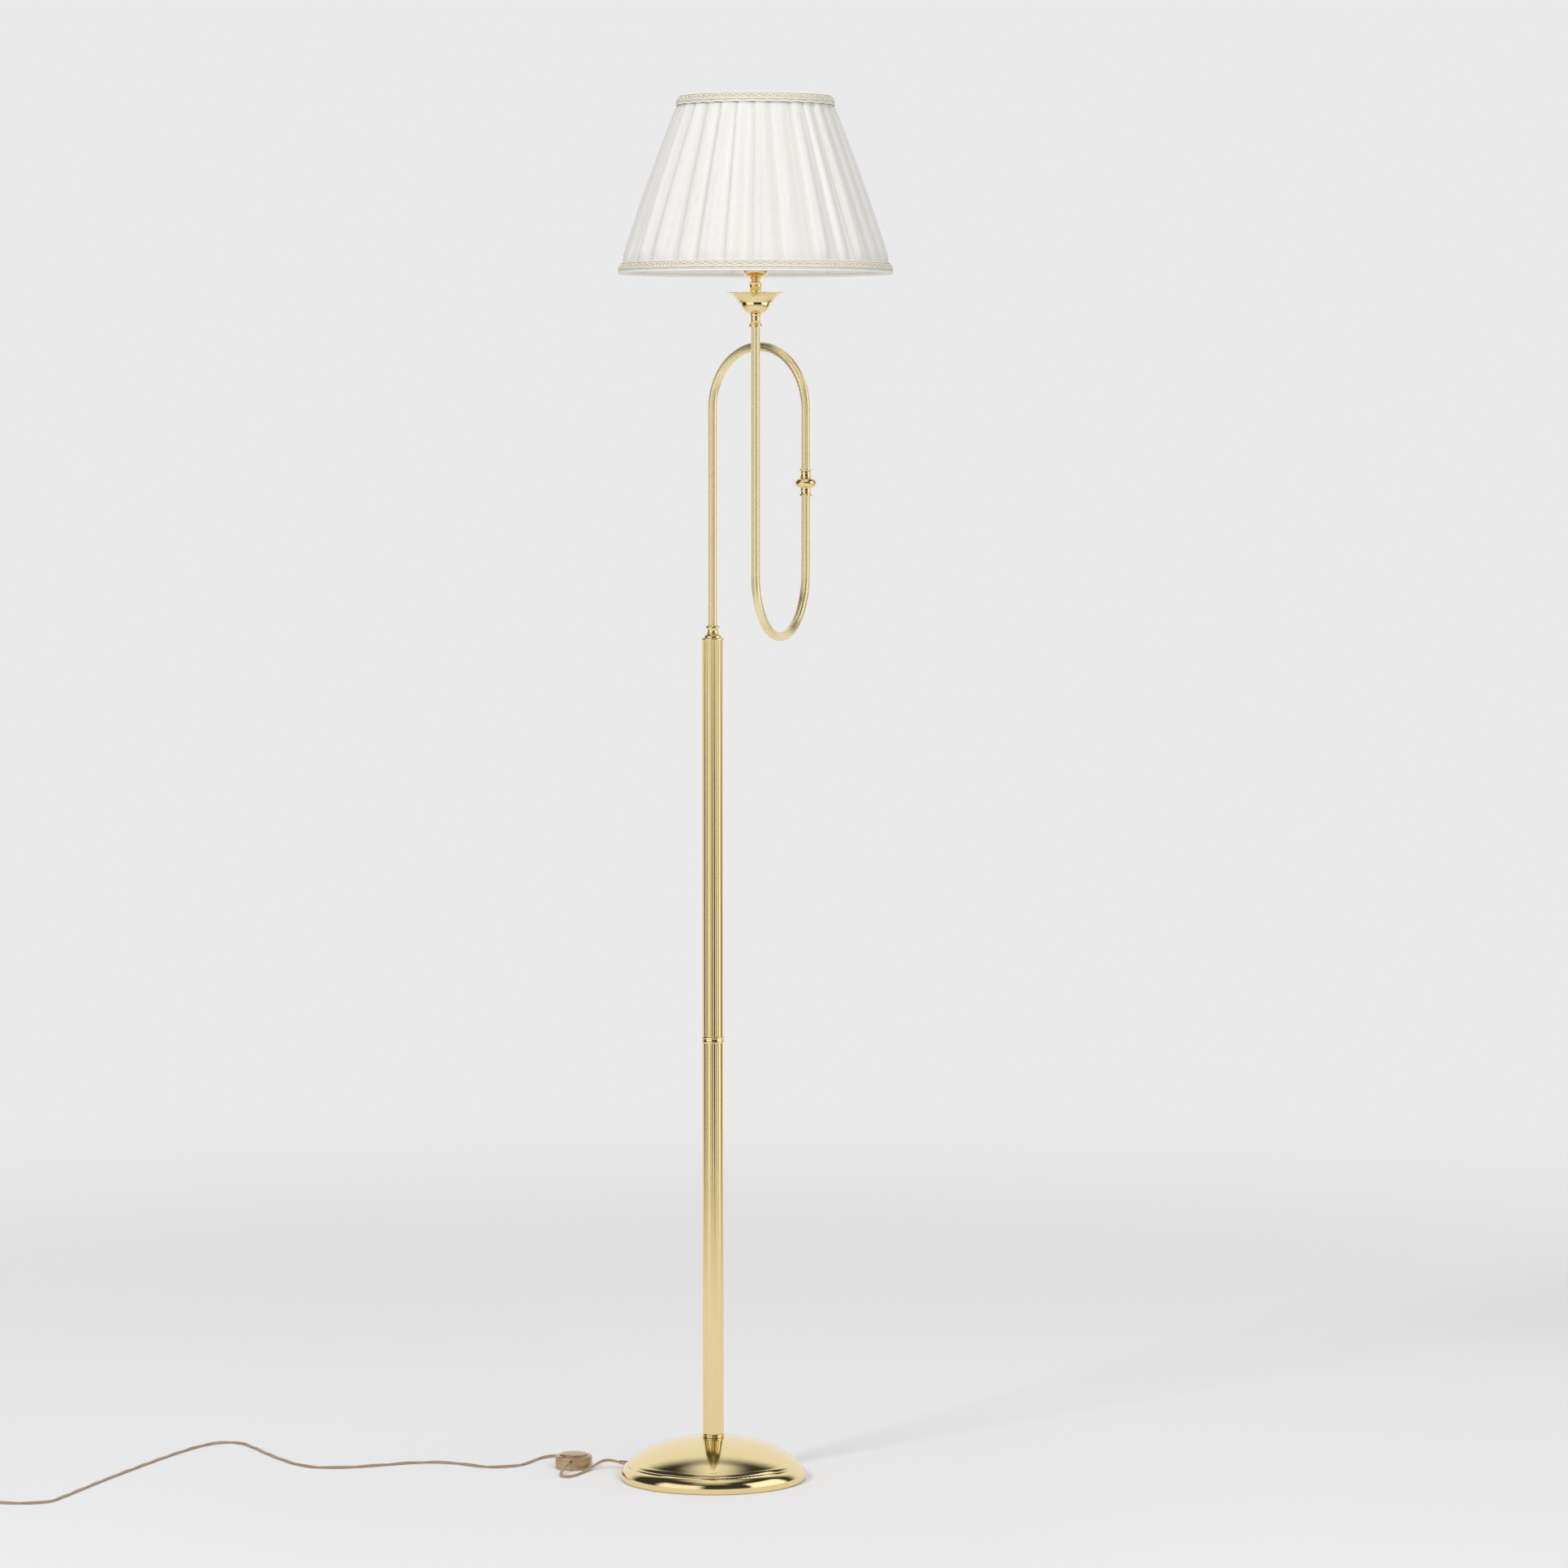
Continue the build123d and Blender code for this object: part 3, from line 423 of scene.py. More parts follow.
finishes = {
    "polished_brass": brass("polished_brass", brass_tone, brass_deep, 0.07, marks=0.10),
    "fluted_brass": brass("fluted_brass", brass_tone, brass_deep, 0.09, marks=0.0),
    "arm_brass": brass("arm_brass", arm_tone, brass_tone, 0.24, marks=0.0),
    "brass_contact": worn("brass_contact", (0.75, 0.62, 0.36), (0.6, 0.45, 0.2), 0.3, Metallic=1.0),
    "iron": worn("iron", (0.05, 0.05, 0.05), (0.02, 0.02, 0.02), 0.7, bump=0.8, Metallic=0.4),
    "steel": worn("steel", (0.62, 0.62, 0.63), (0.5, 0.5, 0.52), 0.32, Metallic=1.0),
    "bulb_metal": worn("bulb_metal", (0.78, 0.78, 0.80), (0.6, 0.6, 0.62), 0.22, Metallic=1.0),
    "felt": worn("felt", (0.03, 0.06, 0.035), (0.02, 0.035, 0.02), 0.95, bump=1.0, cloud=60.0),
    "bronze_plastic": brushed("bronze_plastic", bronze_tone, (0.50, 0.34, 0.19), 0.32, tuple(switch)),
    "gasket_rubber": worn("gasket_rubber", (0.03, 0.022, 0.012), (0.02, 0.015, 0.01), 0.6),
    "cord_plastic": worn("cord_plastic", (0.47, 0.34, 0.22), (0.38, 0.27, 0.16), 0.30, Metallic=0.35),
    "lead_plastic": worn("lead_plastic", (0.8, 0.8, 0.78), (0.7, 0.7, 0.66), 0.4),
    "white_plastic": worn("white_plastic", (0.85, 0.84, 0.80), (0.78, 0.76, 0.70), 0.35),
    "bulb_glass": worn("bulb_glass", (0.92, 0.92, 0.90), (0.88, 0.88, 0.86), 0.18, bump=0.02),
    "frame_enamel": worn("frame_enamel", (0.86, 0.85, 0.82), (0.8, 0.78, 0.74), 0.3),
    # each cloth's deep colour is the tone of the painted shade in its folds and streaks
    "pleated_cloth": cloth(
        "pleated_cloth", (0.93, 0.92, 0.905), (0.78, 0.76, 0.72), threads=(1500, 420), streaks=90.0,
        folds=pleats, slub=0.6, strength=0.25, Sheen_Weight=0.15, Sheen_Roughness=0.4,
    ),
    # the lining glows faintly: painted light, as the lamp is unlit
    "lining_cloth": cloth(
        "lining_cloth", (0.94, 0.92, 0.88), (0.74, 0.71, 0.64), threads=(900, 200), streaks=40.0,
        folds=0, slub=1.2, strength=0.6, Sheen_Weight=0.1, Emission_Color=(0.9, 0.87, 0.82, 1),
        Emission_Strength=0.26,
    ),
    "braid_trim": worn(
        "braid_trim", (0.90, 0.865, 0.77), (0.84, 0.78, 0.65), 0.7, bump=0.6, cloud=40.0, Sheen_Weight=0.2,
    ),
    "piping_trim": worn(
        "piping_trim", (0.93, 0.91, 0.86), (0.88, 0.85, 0.78), 0.6, bump=0.5, cloud=40.0, Sheen_Weight=0.3,
    ),
}


def finish_frame():
    """Every CAD node gets the finish of its slot."""
    for node in nodes.values():
        slot = node.material_slots[0]
        slot.material = finishes[slot.material.name.split(".")[0]]


# ---- cords --------------------------------------------------------------------------------

cord_width = 4.0 * mm
cord_depth = 3.0 * mm
cord_twist = 95.0 * mm  # length of one turn of the flat cord
groove_depth = 0.22  # of the cord's half depth
groove_width = 0.22 * cord_width
ring_points = 14
line_smoothness = 8  # points of the centre line to each point of a route

# routes in millimetres, from the base out to the plug
to_switch = [
    (-125.3, 67.6, 9.0), (-132.2, 71.3, 10.0), (-141.8, 74.2, 11.0), (-151.3, 71.5, 9.2),
    (-159.0, 64.6, 5.6), (-164.2, 54.4, 2.6), (-171.5, 37.8, 2.0), (-178.6, 21.5, 2.0),
    (-184.6, 9.5, 2.0), (-190.4, 0.8, 2.0), (-200.8, 2.4, 2.0), (-202.6, 15.5, 2.4),
    (-200.4, 28.0, 4.8), (-196.0, 40.5, 9.4), (-190.6, 51.8, 12.0),
]
to_coil = [
    (-190.0, 100.2, 12.0), (-191.6, 113.0, 11.4), (-195.0, 126.0, 8.8), (-200.5, 138.0, 6.0),
    (-208.5, 147.2, 3.8), (-220.0, 150.0, 2.6), (-231.0, 143.0, 2.0), (-239.0, 130.0, 2.0),
    (-248.0, 103.0, 2.0), (-259.5, 86.0, 2.0), (-275.0, 75.0, 2.0), (-297.0, 70.5, 2.0),
    (-318.5, 80.0, 2.0), (-337.0, 95.5, 2.0), (-359.0, 105.6, 2.0), (-386.0, 107.6, 2.0),
    (-415.5, 99.5, 2.0), (-449.0, 84.0, 2.0), (-481.0, 71.5, 2.0), (-511.0, 66.5, 2.0),
    (-539.5, 72.5, 2.0), (-562.0, 96.5, 2.0), (-583.5, 131.5, 2.0), (-606.3, 174.8, 2.0),
    (-627.5, 220.0, 2.0), (-644.5, 249.5, 2.0), (-667.0, 260.5, 2.0), (-689.5, 245.5, 2.0),
    (-708.5, 214.5, 2.0), (-728.0, 172.8, 2.0), (-748.2, 122.7, 2.0), (-768.6, 69.4, 2.0),
    (-788.6, 14.8, 2.0), (-807.3, -38.8, 2.0), (-825.5, -93.6, 2.0), (-840.5, -141.2, 2.0),
    (-853.0, -173.5, 2.0), (-869.5, -183.0, 2.0), (-895.0, -184.5, 2.0), (-919.0, -181.0, 2.0),
    (-940.0, -178.6, 2.0),
]
coil_centre = (-954.0, -152.0)
coil_stack = [  # radius and height as each turn begins
    (26.6, 2.0), (22.3, 2.0), (18.0, 2.0), (20.2, 5.7), (24.4, 5.7), (22.3, 9.4), (18.2, 9.4), (17.0, 9.4),
]
coil_turns = 6.25
coil_step = 15.0  # degrees from point to point
to_plug = [
    (-973.0, -138.0, 9.2), (-973.6, -124.0, 8.0), (-974.0, -111.0, 7.0), (-974.0, -98.0, 7.0),
]


def coil_points():
    """Turns of the put-away cord: clockwise, in along the floor, out a layer up and in again on top."""
    points = []
    for step in range(int(coil_turns * 360.0 / coil_step) + 1):
        turn = step * coil_step / 360.0
        (near_r, near_z), (far_r, far_z) = coil_stack[int(turn)], coil_stack[int(turn) + 1]
        share = turn - int(turn)
        radius = near_r + share * (far_r - near_r)
        angle = -pi / 2 - tau * turn
        points.append((
            coil_centre[0] + radius * cos(angle), coil_centre[1] + radius * sin(angle),
            near_z + share * (far_z - near_z),
        ))
    return points


def route_line(name, points):
    """The cord's centre line: the points along a smooth spline."""
    data = bpy.data.curves.new(name, "CURVE")
    data.dimensions = "3D"
    data.resolution_u = line_smoothness
    spline = data.splines.new("NURBS")
    spline.points.add(len(points) - 1)
    for knot, point in zip(spline.points, points):
        knot.co = (*(mm * value for value in point), 1)
    spline.order_u = 3
    spline.use_endpoint_u = True
    curve = bpy.data.objects.new(name, data)
    scene.collection.objects.link(curve)
    line = baked(curve, name + "_line")
    path = [vertex.co.copy() for vertex in line.data.vertices]
    bpy.data.objects.remove(line)
    return path


def cord_section():
    """Flat twin cord: two round cores side by side under one sleeve, with a groove along each face."""
    section = []
    for number in range(ring_points):
        angle = tau * number / ring_points
        across = cord_width / 2 * cos(angle)
        groove = 1 - groove_depth * exp(-((across / groove_width) ** 2))
        section.append((across, cord_depth / 2 * sin(angle) * groove))
    return section


def twin_cord(name, path):
    """A mesh of the flat cord along its centre line, turning slowly about it."""
    section = cord_section()
    vertices = []
    travelled = 0.0
    for place, point in enumerate(path):
        before, after = path[max(place - 1, 0)], path[min(place + 1, len(path) - 1)]
        heading = (after - before).normalized()
        side = heading.cross(Vector((0, 0, 1))).normalized()
        up = side.cross(heading)
        travelled += (point - before).length
        roll = tau * travelled / cord_twist
        for across, above in section:
            out = across * cos(roll) - above * sin(roll)
            rise = across * sin(roll) + above * cos(roll)
            vertices.append(point + out * side + rise * up)
    faces = []
    for ring in range(len(path) - 1):
        for number in range(ring_points):
            near, far = ring * ring_points, (ring + 1) * ring_points
            following = (number + 1) % ring_points
            faces.append((near + number, near + following, far + following, far + number))
    faces.append(tuple(range(ring_points - 1, -1, -1)))
    last = (len(path) - 1) * ring_points
    faces.append(tuple(range(last, last + ring_points)))
    piece = add_mesh(name, vertices, faces)
    face_outwards(piece)
    return piece


def add_cords():
    """The flat cord from the base to the foot switch, and from there to the plug."""
    path = route_line("switch_cord", to_switch)
    cord = twin_cord("switch_cord", path)
    finish_with(cord, finishes["cord_plastic"], "stand")
    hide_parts("cord_to_switch")
    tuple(path[0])
    path = route_line("mains_cord", to_coil + coil_points() + to_plug)
    cord = twin_cord("mains_cord", path)
    finish_with(cord, finishes["cord_plastic"], "stand")
    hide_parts("cord_to_coil", "cord_coil", "cord_to_plug")
    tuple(path[0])


# ---- shade --------------------------------------------------------------------------------

low_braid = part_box("bottom_braid")
high_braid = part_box("top_braid")
pleat_seed = 11
pleat_columns = 22  # across one pleat
pleat_rows = 44
pleat_foot_z = low_braid[0].z + 0.5 * mm
pleat_top_z = high_braid[1].z - 1.5 * mm
cloth_inset = 3.7 * mm  # the pleats' valleys lie this far inside the cone
cloth_thickness = 0.35 * mm
ridge = 0.24  # share of a pleat taken by its steep side
lap_width = 0.08  # how far a fold leans over its neighbour, in pleats
lap_loss = 0.6  # share of the lap that is gone at the foot
flat_end = 6 * mm  # cloth held flat under a braid
flat_share = 0.25  # share of a pleat's depth left where it is held flat
foot_opening, top_opening = 16 * mm, 12 * mm  # height in which a pleat opens out
least_depth = 2.6 * mm
middle_depth, foot_depth = 2.4 * mm, 1.2 * mm  # added towards a pleat's middle and towards its foot
lobe_height, lobe_width = 2.6 * mm, 0.13  # a soft buckle in the wide side of a pleat
lobe_top_share = 0.2  # share of the buckle's height left at the top
lining_inset = 3.9 * mm
lining_thickness = 0.4 * mm


def shade_radius(z, inset=0.0):
    """The outer radius of the shade's cone at a height."""
    foot_z, top_z = low_braid[0].z, high_braid[0].z
    foot_r = (low_braid[1].x - low_braid[0].x) / 2
    top_r = (high_braid[1].x - high_braid[0].x) / 2
    return foot_r + (top_r - foot_r) * (z - foot_z) / (top_z - foot_z) - inset


def around(angle, radius, z):
    """A point on the shade, by its angle about the shade's axis, radius and height."""
    return (head.x + radius * cos(angle), head.y + radius * sin(angle), z)


def smooth_step(value):
    """Rises smoothly from 0 to 1 as the value does."""
    value = min(max(value, 0.0), 1.0)
    return value * value * (3 - 2 * value)


def uv_sheet(piece, columns, rows):
    """A UV map over a sheet made of columns and rows of faces: u round, v up."""
    layer = piece.data.uv_layers.new(name="cloth")
    for face in piece.data.polygons:
        column, row = face.index % columns, face.index // columns
        for loop, (du, dv) in zip(face.loop_indices, ((0, 0), (1, 0), (1, 1), (0, 1))):
            layer.data[loop].uv = ((column + du) / columns, (row + dv) / rows)


def round_sheet(name, columns, rows, place):
    """A sheet closed round the shade's axis; place gives the point at a column and a row."""
    vertices = [place(column, row) for row in range(rows + 1) for column in range(columns)]
    faces = []
    for row in range(rows):
        for column in range(columns):
            following = (column + 1) % columns
            near, far = row * columns, (row + 1) * columns
            faces.append((near + column, near + following, far + following, far + column))
    return add_mesh(name, vertices, faces)


def pleat_plan():
    """Each pleat's own place, depth and softness, and the drift of its lower end."""
    chance = random.Random(pleat_seed)
    return [
        {
            "shift": chance.uniform(-0.16, 0.16),
            "drift": chance.uniform(-0.22, 0.22),
            "depth": chance.uniform(0.60, 1.25),
            "lobe": chance.uniform(-1.0, 1.2),
            "lobe_place": chance.uniform(0.40, 0.75),
            "fold": chance.uniform(0.3, 1.3),
        }
        for _ in range(pleats)
    ]


plan = pleat_plan()


def pleated_point(column, row):
    """A point of the pleated cloth: a steep side, a wide side with a buckle, flat under the braids."""
    number, step = divmod(column, pleat_columns)
    pleat, following = plan[number], plan[(number + 1) % pleats]
    z = pleat_foot_z + row / pleat_rows * (pleat_top_z - pleat_foot_z)
    down = 1 - row / pleat_rows
    share = step / pleat_columns
    start = number + pleat["shift"] + pleat["drift"] * down
    end = number + 1 + following["shift"] + following["drift"] * down
    lap = 0.0
    if share < ridge:
        rise = smooth_step(share / ridge)
        lap = lap_width * pleat["fold"] * sin(pi * share / ridge) * (1 - lap_loss * down)
    else:
        rise = 1 - smooth_step((share - ridge) / (1 - ridge))
    loose = smooth_step((z - pleat_foot_z - flat_end) / foot_opening)
    loose *= smooth_step((pleat_top_z - flat_end - z) / top_opening)
    free = flat_share + (1 - flat_share) * loose
    depth = least_depth + middle_depth * sin(pi * down) + foot_depth * down
    depth *= pleat["depth"] * free
    lobe = exp(-(((share - pleat["lobe_place"]) / lobe_width) ** 2)) * pleat["lobe"] * lobe_height
    lobe *= loose * (lobe_top_share + (1 - lobe_top_share) * down)
    angle = pi / 2 + tau / pleats * (start + (end - start) * share - lap * free)
    return around(angle, shade_radius(z, cloth_inset) + depth * rise + lobe, z)


def add_pleated_cloth():
    """The shade's outer cloth, sewn in soft pleats."""
    columns = pleats * pleat_columns
    piece = round_sheet("pleated_cloth", columns, pleat_rows, pleated_point)
    uv_sheet(piece, columns, pleat_rows)
    piece = thicken(piece, cloth_thickness)
    finish_with(piece, finishes["pleated_cloth"], "head_arm")
    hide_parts("shade_fabric")


def add_lining():
    """The smooth cloth stretched inside the shade's wires."""
    columns, rows = 192, 12
    low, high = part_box("shade_lining")

    def place(column, row):
        z = low.z + (high.z - low.z) * row / rows
        return around(tau * column / columns, shade_radius(z, lining_inset), z)

    piece = round_sheet("lining", columns, rows, place)
    uv_sheet(piece, columns, rows)
    piece = thicken(piece, lining_thickness)
    finish_with(piece, finishes["lining_cloth"], "head_arm")
    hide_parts("shade_lining")


band_inset = 1.5 * mm
band_crown = 0.3 * mm
edge_inset = 0.6 * mm
edge_thread = 0.65 * mm
edge_margin = 0.7 * mm  # from the band's edge to the middle of its corded edge
link_thread = 0.62 * mm
link_outset = 0.45 * mm
link_half_height = 0.29  # of the braid's height
link_lift = 0.12 * mm
link_segments, link_sides = 18, 6  # round the oval and round its thread
piping_thread = 1.5 * mm
hem_thread = 0.9 * mm
hem_ripple = 0.5 * mm
hem_drop, hem_inset = 0.6 * mm, 0.4 * mm  # from the top braid's lower edge


def add_band(name, node):
    """The woven ground of a braid, slightly crowned, lying on the cone."""
    columns, rows = 180, 8
    low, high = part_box(node)

    def place(column, row):
        share = row / rows
        z = low.z + (high.z - low.z) * share
        crown = band_crown * sin(pi * share)
        return around(tau * column / columns, shade_radius(z, band_inset) + crown, z)

    return round_sheet(name, columns, rows, place)


def ring_cord(name, radius, z, thread, ripple=0.0, ripples=0):
    """A cord sewn round the shade, with an optional ripple that isn't quite even."""
    rounds, sides = 480, 8
    vertices = []
    for number in range(rounds):
        angle = tau * number / rounds
        drift = 0.6 * sin(5 * angle)
        swell = ripple * sin(ripples * angle + drift)
        for side in range(sides):
            turn = tau * side / sides
            out, up = thread * cos(turn), thread * sin(turn)
            vertices.append(around(angle, radius + out, z + up + swell))
    faces = []
    for number in range(rounds):
        near, far = number * sides, ((number + 1) % rounds) * sides
        for side in range(sides):
            following = (side + 1) % sides
            faces.append((near + side, far + side, far + following, near + following))
    piece = add_mesh(name, vertices, faces)
    face_outwards(piece)
    return piece


def joined(name, pieces):
    """One mesh of several pieces."""
    work = bmesh.new()
    for piece in pieces:
        work.from_mesh(piece.data)
    data = bpy.data.meshes.new(name)
    work.to_mesh(data)
    work.free()
    for piece in pieces:
        bpy.data.objects.remove(piece)
    result = bpy.data.objects.new(name, data)
    scene.collection.objects.link(result)
    return result


def make_link_chain():
    """Geometry nodes: oval loops of cord round a ring, each over one neighbour and under the other."""
    tree = bpy.data.node_groups.new("link_chain", "GeometryNodeTree")
    tree.is_modifier = True
    tree.interface.new_socket("Geometry", in_out="OUTPUT", socket_type="NodeSocketGeometry")
    kinds = {
        "Count": "Int", "Ring Radius": "Float", "Half Length": "Float", "Half Height": "Float",
        "Thread Radius": "Float", "Lift": "Float", "Lean": "Float", "Centre": "Vector",
        "Material": "Material",
    }
    sockets = {socket: add_socket(tree, socket, "NodeSocket" + kind) for socket, kind in kinds.items()}
    add, link = tree.nodes.new, tree.links.new
    given, result = add("NodeGroupInput"), add("NodeGroupOutput")

    loop = add("GeometryNodeCurvePrimitiveCircle")
    loop.inputs["Resolution"].default_value = link_segments
    loop.inputs["Radius"].default_value = 1.0
    place = add("GeometryNodeInputPosition")
    apart = add("ShaderNodeSeparateXYZ")
    link(place.outputs["Position"], apart.inputs[0])
    shaped = add("ShaderNodeCombineXYZ")
    parts = (("X", "Half Length", "Y"), ("Y", "Half Height", "Z"), ("X", "Lift", "X"))
    for source, stretch, axis in parts:
        drawn = add_math(tree, "MULTIPLY", apart.outputs[source], given.outputs[stretch])
        link(drawn, shaped.inputs[axis])
    oval = add("GeometryNodeSetPosition")
    link(loop.outputs["Curve"], oval.inputs["Geometry"])
    link(shaped.outputs["Vector"], oval.inputs["Position"])
    thread = add("GeometryNodeCurvePrimitiveCircle")
    thread.inputs["Resolution"].default_value = link_sides
    link(given.outputs["Thread Radius"], thread.inputs["Radius"])
    cord = add("GeometryNodeCurveToMesh")
    link(oval.outputs["Geometry"], cord.inputs["Curve"])
    link(thread.outputs["Curve"], cord.inputs["Profile Curve"])
    tilt = add("ShaderNodeCombineXYZ")
    link(given.outputs["Lean"], tilt.inputs["Y"])
    leaned = add("GeometryNodeTransform")
    link(cord.outputs["Mesh"], leaned.inputs["Geometry"])
    link(tilt.outputs["Vector"], leaned.inputs["Rotation"])

    ring = add("GeometryNodeMeshCircle")
    link(given.outputs["Count"], ring.inputs["Vertices"])
    link(given.outputs["Ring Radius"], ring.inputs["Radius"])
    number = add("GeometryNodeInputIndex")
    share = add_math(tree, "DIVIDE", number.outputs["Index"], given.outputs["Count"])
    turn = add("ShaderNodeCombineXYZ")
    link(add_math(tree, "MULTIPLY", share, tau), turn.inputs["Z"])
    links = add("GeometryNodeInstanceOnPoints")
    link(ring.outputs["Mesh"], links.inputs["Points"])
    link(leaned.outputs["Geometry"], links.inputs["Instance"])
    link(turn.outputs["Vector"], links.inputs["Rotation"])
    real = add("GeometryNodeRealizeInstances")
    link(links.outputs["Instances"], real.inputs["Geometry"])
    moved = add("GeometryNodeTransform")
    link(real.outputs["Geometry"], moved.inputs["Geometry"])
    link(given.outputs["Centre"], moved.inputs["Translation"])
    soft = add("GeometryNodeSetShadeSmooth")
    link(moved.outputs["Geometry"], soft.inputs["Geometry"])
    dressed = add("GeometryNodeSetMaterial")
    link(soft.outputs["Geometry"], dressed.inputs["Geometry"])
    link(given.outputs["Material"], dressed.inputs["Material"])
    link(dressed.outputs["Geometry"], result.inputs["Geometry"])
    return tree, sockets


link_chain, link_sockets = make_link_chain()


def chain_of_links(name, count, z, radius, half_length, half_height):
    """The interlaced ovals of a braid, as a plain mesh."""
    piece = add_mesh(name, [(0, 0, 0)], [])
    modifier = piece.modifiers.new("links", "NODES")
    modifier.node_group = link_chain
    slope = (shade_radius(z + 1.0 * mm) - shade_radius(z)) / mm
    values = {
        "Count": count, "Ring Radius": radius, "Half Length": half_length, "Half Height": half_height,
        "Thread Radius": link_thread, "Lift": link_lift, "Lean": atan2(slope, 1.0),
        "Centre": (head.x, head.y, z), "Material": finishes["braid_trim"],
    }
    for socket, value in values.items():
        modifier[link_sockets[socket]] = value
    return baked(piece, name)


def add_braid(name, node, count, half_length):
    """A furnishing braid: a woven band, corded edges and a chain of interlaced ovals."""
    low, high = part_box(node)
    height = high.z - low.z
    centre_z = (low.z + high.z) / 2
    band = add_band(name + "_band", node)
    edges = [
        ring_cord(name + "_edge", shade_radius(z, edge_inset), z, edge_thread)
        for z in (low.z + edge_margin, high.z - edge_margin)
    ]
    links = chain_of_links(
        name + "_links", count, centre_z, shade_radius(centre_z, -link_outset), half_length,
        link_half_height * height,
    )
    piece = joined(name, [band, *edges, links])
    finish_with(piece, finishes["braid_trim"], "head_arm")
    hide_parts(node)


def add_trims():
    """The braids sewn over both ends of the cloth, the piping at the foot and the hem at the top."""
    add_braid("bottom_braid_trim", "bottom_braid", count=88, half_length=10.4 * mm)
    add_braid("top_braid_trim", "top_braid", count=66, half_length=7.4 * mm)
    low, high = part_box("bottom_piping")
    radius = (high.x - low.x) / 2 - piping_thread
    piece = ring_cord("foot_piping", radius, (low.z + high.z) / 2, piping_thread)
    finish_with(piece, finishes["piping_trim"], "head_arm")
    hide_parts("bottom_piping")
    z = high_braid[0].z - hem_drop
    radius = shade_radius(z, hem_inset)
    piece = ring_cord("top_hem", radius, z, hem_thread, ripple=hem_ripple, ripples=pleats)
    finish_with(piece, finishes["piping_trim"], "head_arm")


# ---- studio -------------------------------------------------------------------------------

paper = (0.83, 0.82, 0.825)
floor_paper = (0.90, 0.895, 0.90)
floor_radii = (1.0, 2.0, 3.0, 4.0, 6.0, 9.0, 14.0)
fade_starts, fade_ends = 1.1, 4.2  # metres from the pole


def add_floor():
    """A pale matt floor that fades into the backdrop's colour away from the lamp."""
    rounds = 64
    turns = [tau * number / rounds for number in range(rounds)]
    vertices = [(0, 0, 0)]
    for radius in floor_radii:
        vertices += [(radius * cos(turn), radius * sin(turn), 0) for turn in turns]
    steps = [(number, (number + 1) % rounds) for number in range(rounds)]
    faces = [(0, 1 + here, 1 + following) for here, following in steps]
    for ring in range(len(floor_radii) - 1):
        near, far = 1 + ring * rounds, 1 + (ring + 1) * rounds
        for here, following in steps:
            faces.append((near + here, far + here, far + following, near + following))
    floor = add_mesh("floor", vertices, faces)
    finish = Finish("floor_paper", floor_paper, 0.9, Specular_IOR_Level=0.1)
    spread = finish.add("ShaderNodeVectorMath", operation="LENGTH")
    finish.link(finish.coordinates(), spread.inputs[0])
    fade = finish.add("ShaderNodeMapRange", interpolation_type="SMOOTHSTEP")
    limits = {"From Min": fade_starts, "From Max": fade_ends, "To Min": 1.0, "To Max": 0.0}
    for socket, value in limits.items():
        fade.inputs[socket].default_value = value
    finish.link(spread.outputs["Value"], fade.inputs["Value"])
    finish.link(fade.outputs["Result"], finish.shader.inputs["Alpha"])
    floor.data.materials.append(finish.material)


def sky_patch(tree, turn, height, middle_turn, half_turn, low, high, edge):
    """A soft-edged light panel in the room, by its bearing and height in degrees."""
    off = add_math(tree, "ABSOLUTE", add_math(tree, "SUBTRACT", turn, middle_turn))
    across = smooth_ramp(tree, off, half_turn + edge, half_turn - edge)
    off = add_math(tree, "ABSOLUTE", add_math(tree, "SUBTRACT", height, (low + high) / 2))
    upright = smooth_ramp(tree, off, (high - low) / 2 + edge, (high - low) / 2 - edge)
    return add_math(tree, "MULTIPLY", across, upright)


room_panels = [
    # bearing from the front, half width, low, high, edge, brightness
    (-44.0, 29.0, -30.0, 40.0, 7.0, 1.05),
    (76.0, 27.0, -26.0, 46.0, 4.0, 1.25),
    (-4.0, 30.0, 52.0, 60.0, 8.0, 0.50),
]
horizon_low, horizon_high = (-3.4, -1.6), (3.0, 1.0)  # edges, in degrees up
underfoot_edge = (-50.0, -62.0)
ceiling_edge = (58.0, 74.0)
ceiling_sides = (0.50, 0.02)  # edges, as the sideways part of a direction
back_wall_edge = (0.36, 0.66)  # as the backward part of a direction
back_wall_glow = 0.84
ceiling_glow = 0.85
unlit_glow = 0.04
floor_glow = 0.80  # also the thin line where floor and wall meet
room_light = 0.42  # what cloth and floor get from all round


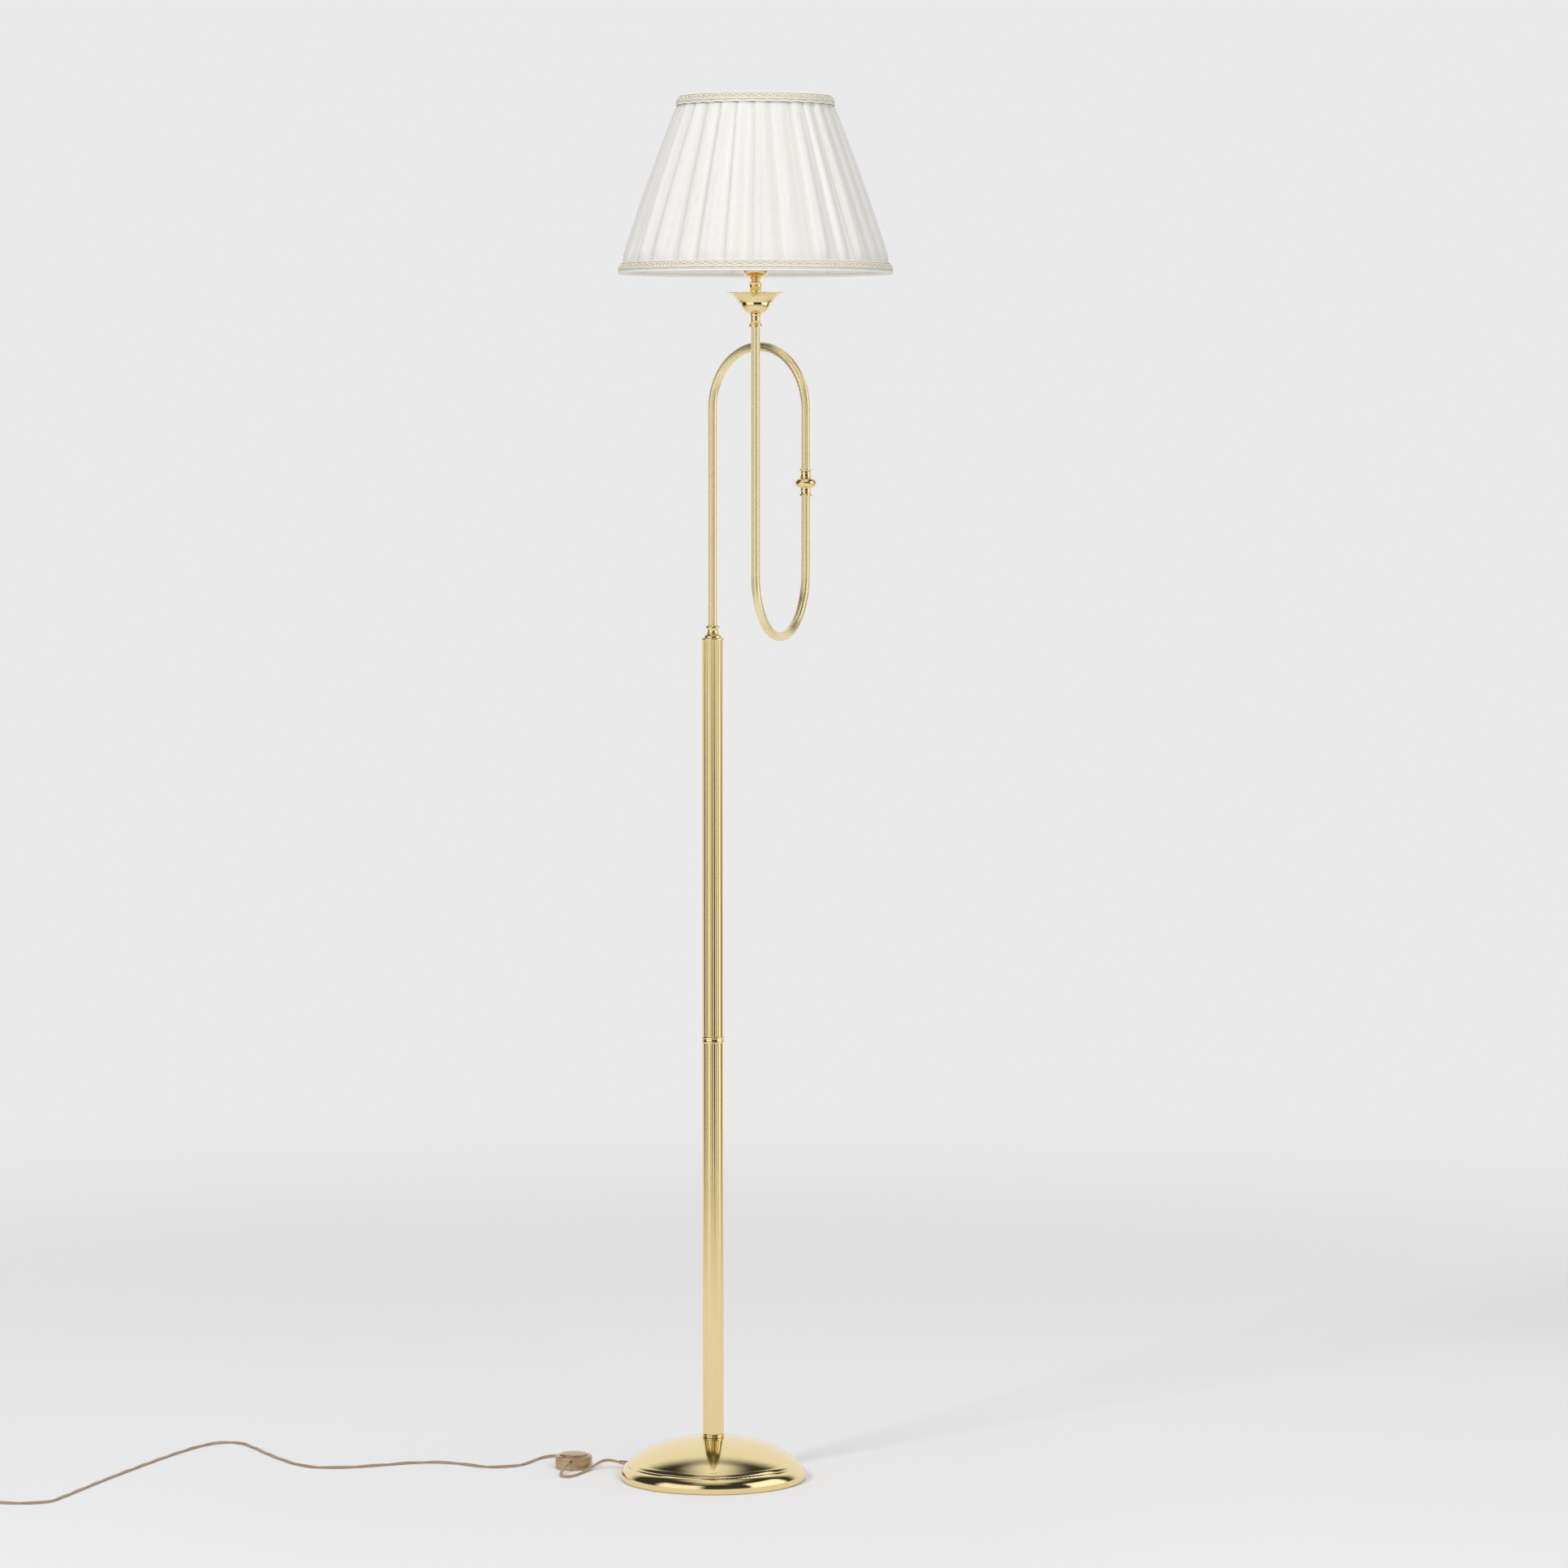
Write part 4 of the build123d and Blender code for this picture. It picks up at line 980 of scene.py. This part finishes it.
def add_room():
    """The room: plain soft light on cloth and floor, panels of light in the brass, pale paper behind."""
    world = bpy.data.worlds.new("studio")
    world.use_nodes = True
    scene.world = world
    tree = world.node_tree
    add, link = tree.nodes.new, tree.links.new
    ground = tree.nodes["Background"]
    place = add("ShaderNodeTexCoord")
    apart = add("ShaderNodeSeparateXYZ")
    link(place.outputs["Generated"], apart.inputs[0])
    toward = add_math(tree, "MULTIPLY", apart.outputs["Y"], -1.0)
    turn = add_math(tree, "DEGREES", add_math(tree, "ARCTAN2", apart.outputs["X"], toward))
    height = add_math(tree, "DEGREES", add_math(tree, "ARCSINE", apart.outputs["Z"]))
    behind = smooth_ramp(tree, apart.outputs["Y"], *back_wall_edge)
    glow = add_math(tree, "MULTIPLY", behind, back_wall_glow)
    overhead = smooth_ramp(tree, height, *ceiling_edge)
    aside = add_math(tree, "ABSOLUTE", apart.outputs["X"])
    overhead = add_math(tree, "MULTIPLY", overhead, smooth_ramp(tree, aside, *ceiling_sides))
    glow = add_math(tree, "ADD", glow, add_math(tree, "MULTIPLY", overhead, ceiling_glow))
    for middle_turn, half_turn, low, high, edge, brightness in room_panels:
        panel = sky_patch(tree, turn, height, middle_turn, half_turn, low, high, edge)
        glow = add_math(tree, "ADD", glow, add_math(tree, "MULTIPLY", panel, brightness))
    glow = add_math(tree, "ADD", glow, unlit_glow)
    rising = smooth_ramp(tree, height, *horizon_low)
    falling = smooth_ramp(tree, height, *horizon_high)
    horizon = add_math(tree, "MULTIPLY", rising, falling)
    below = add_math(tree, "MAXIMUM", horizon, smooth_ramp(tree, height, *underfoot_edge))
    ground_glow = add("ShaderNodeMix")
    link(below, ground_glow.inputs["Factor"])
    link(glow, ground_glow.inputs["A"])
    ground_glow.inputs["B"].default_value = floor_glow
    seen = add("ShaderNodeLightPath")
    lit = add("ShaderNodeMix")
    link(seen.outputs["Is Glossy Ray"], lit.inputs["Factor"])
    lit.inputs["A"].default_value = room_light
    link(ground_glow.outputs["Result"], lit.inputs["B"])
    shown = add("ShaderNodeMix")
    shown.data_type = "RGBA"
    shown.inputs["B"].default_value = (*paper, 1)
    link(lit.outputs["Result"], shown.inputs["A"])
    link(seen.outputs["Is Camera Ray"], shown.inputs["Factor"])
    link(shown.outputs["Result"], ground.inputs["Color"])


def add_lamp(name, place, aim, size, power):
    """A soft square studio light that the brass doesn't mirror."""
    data = bpy.data.lights.new(name, "AREA")
    data.shape = "RECTANGLE"
    data.size = size
    data.size_y = size
    data.energy = power
    lamp = bpy.data.objects.new(name, data)
    lamp.location = place
    lamp.rotation_euler = (Vector(aim) - Vector(place)).to_track_quat("-Z", "Y").to_euler()
    lamp.visible_glossy = False
    scene.collection.objects.link(lamp)


def add_studio():
    """Floor, room and three soft lights."""
    scene.view_settings.view_transform = "Standard"
    add_floor()
    add_room()
    add_lamp("key", (-6.2, -7.9, 8.2), aim=(0, 0, 0.9), size=2.4, power=500.0)
    add_lamp("fill", (4.6, -9.6, 5.6), aim=(0, 0, 1.0), size=5.0, power=360.0)
    add_lamp("top", (0.6, -0.5, 8.0), aim=(0.6, -0.5, 0), size=5.0, power=150.0)


# ---- assembly -----------------------------------------------------------------------------

add_camera()
finish_frame()
add_cords()
add_pleated_cloth()
add_lining()
add_trims()
add_studio()
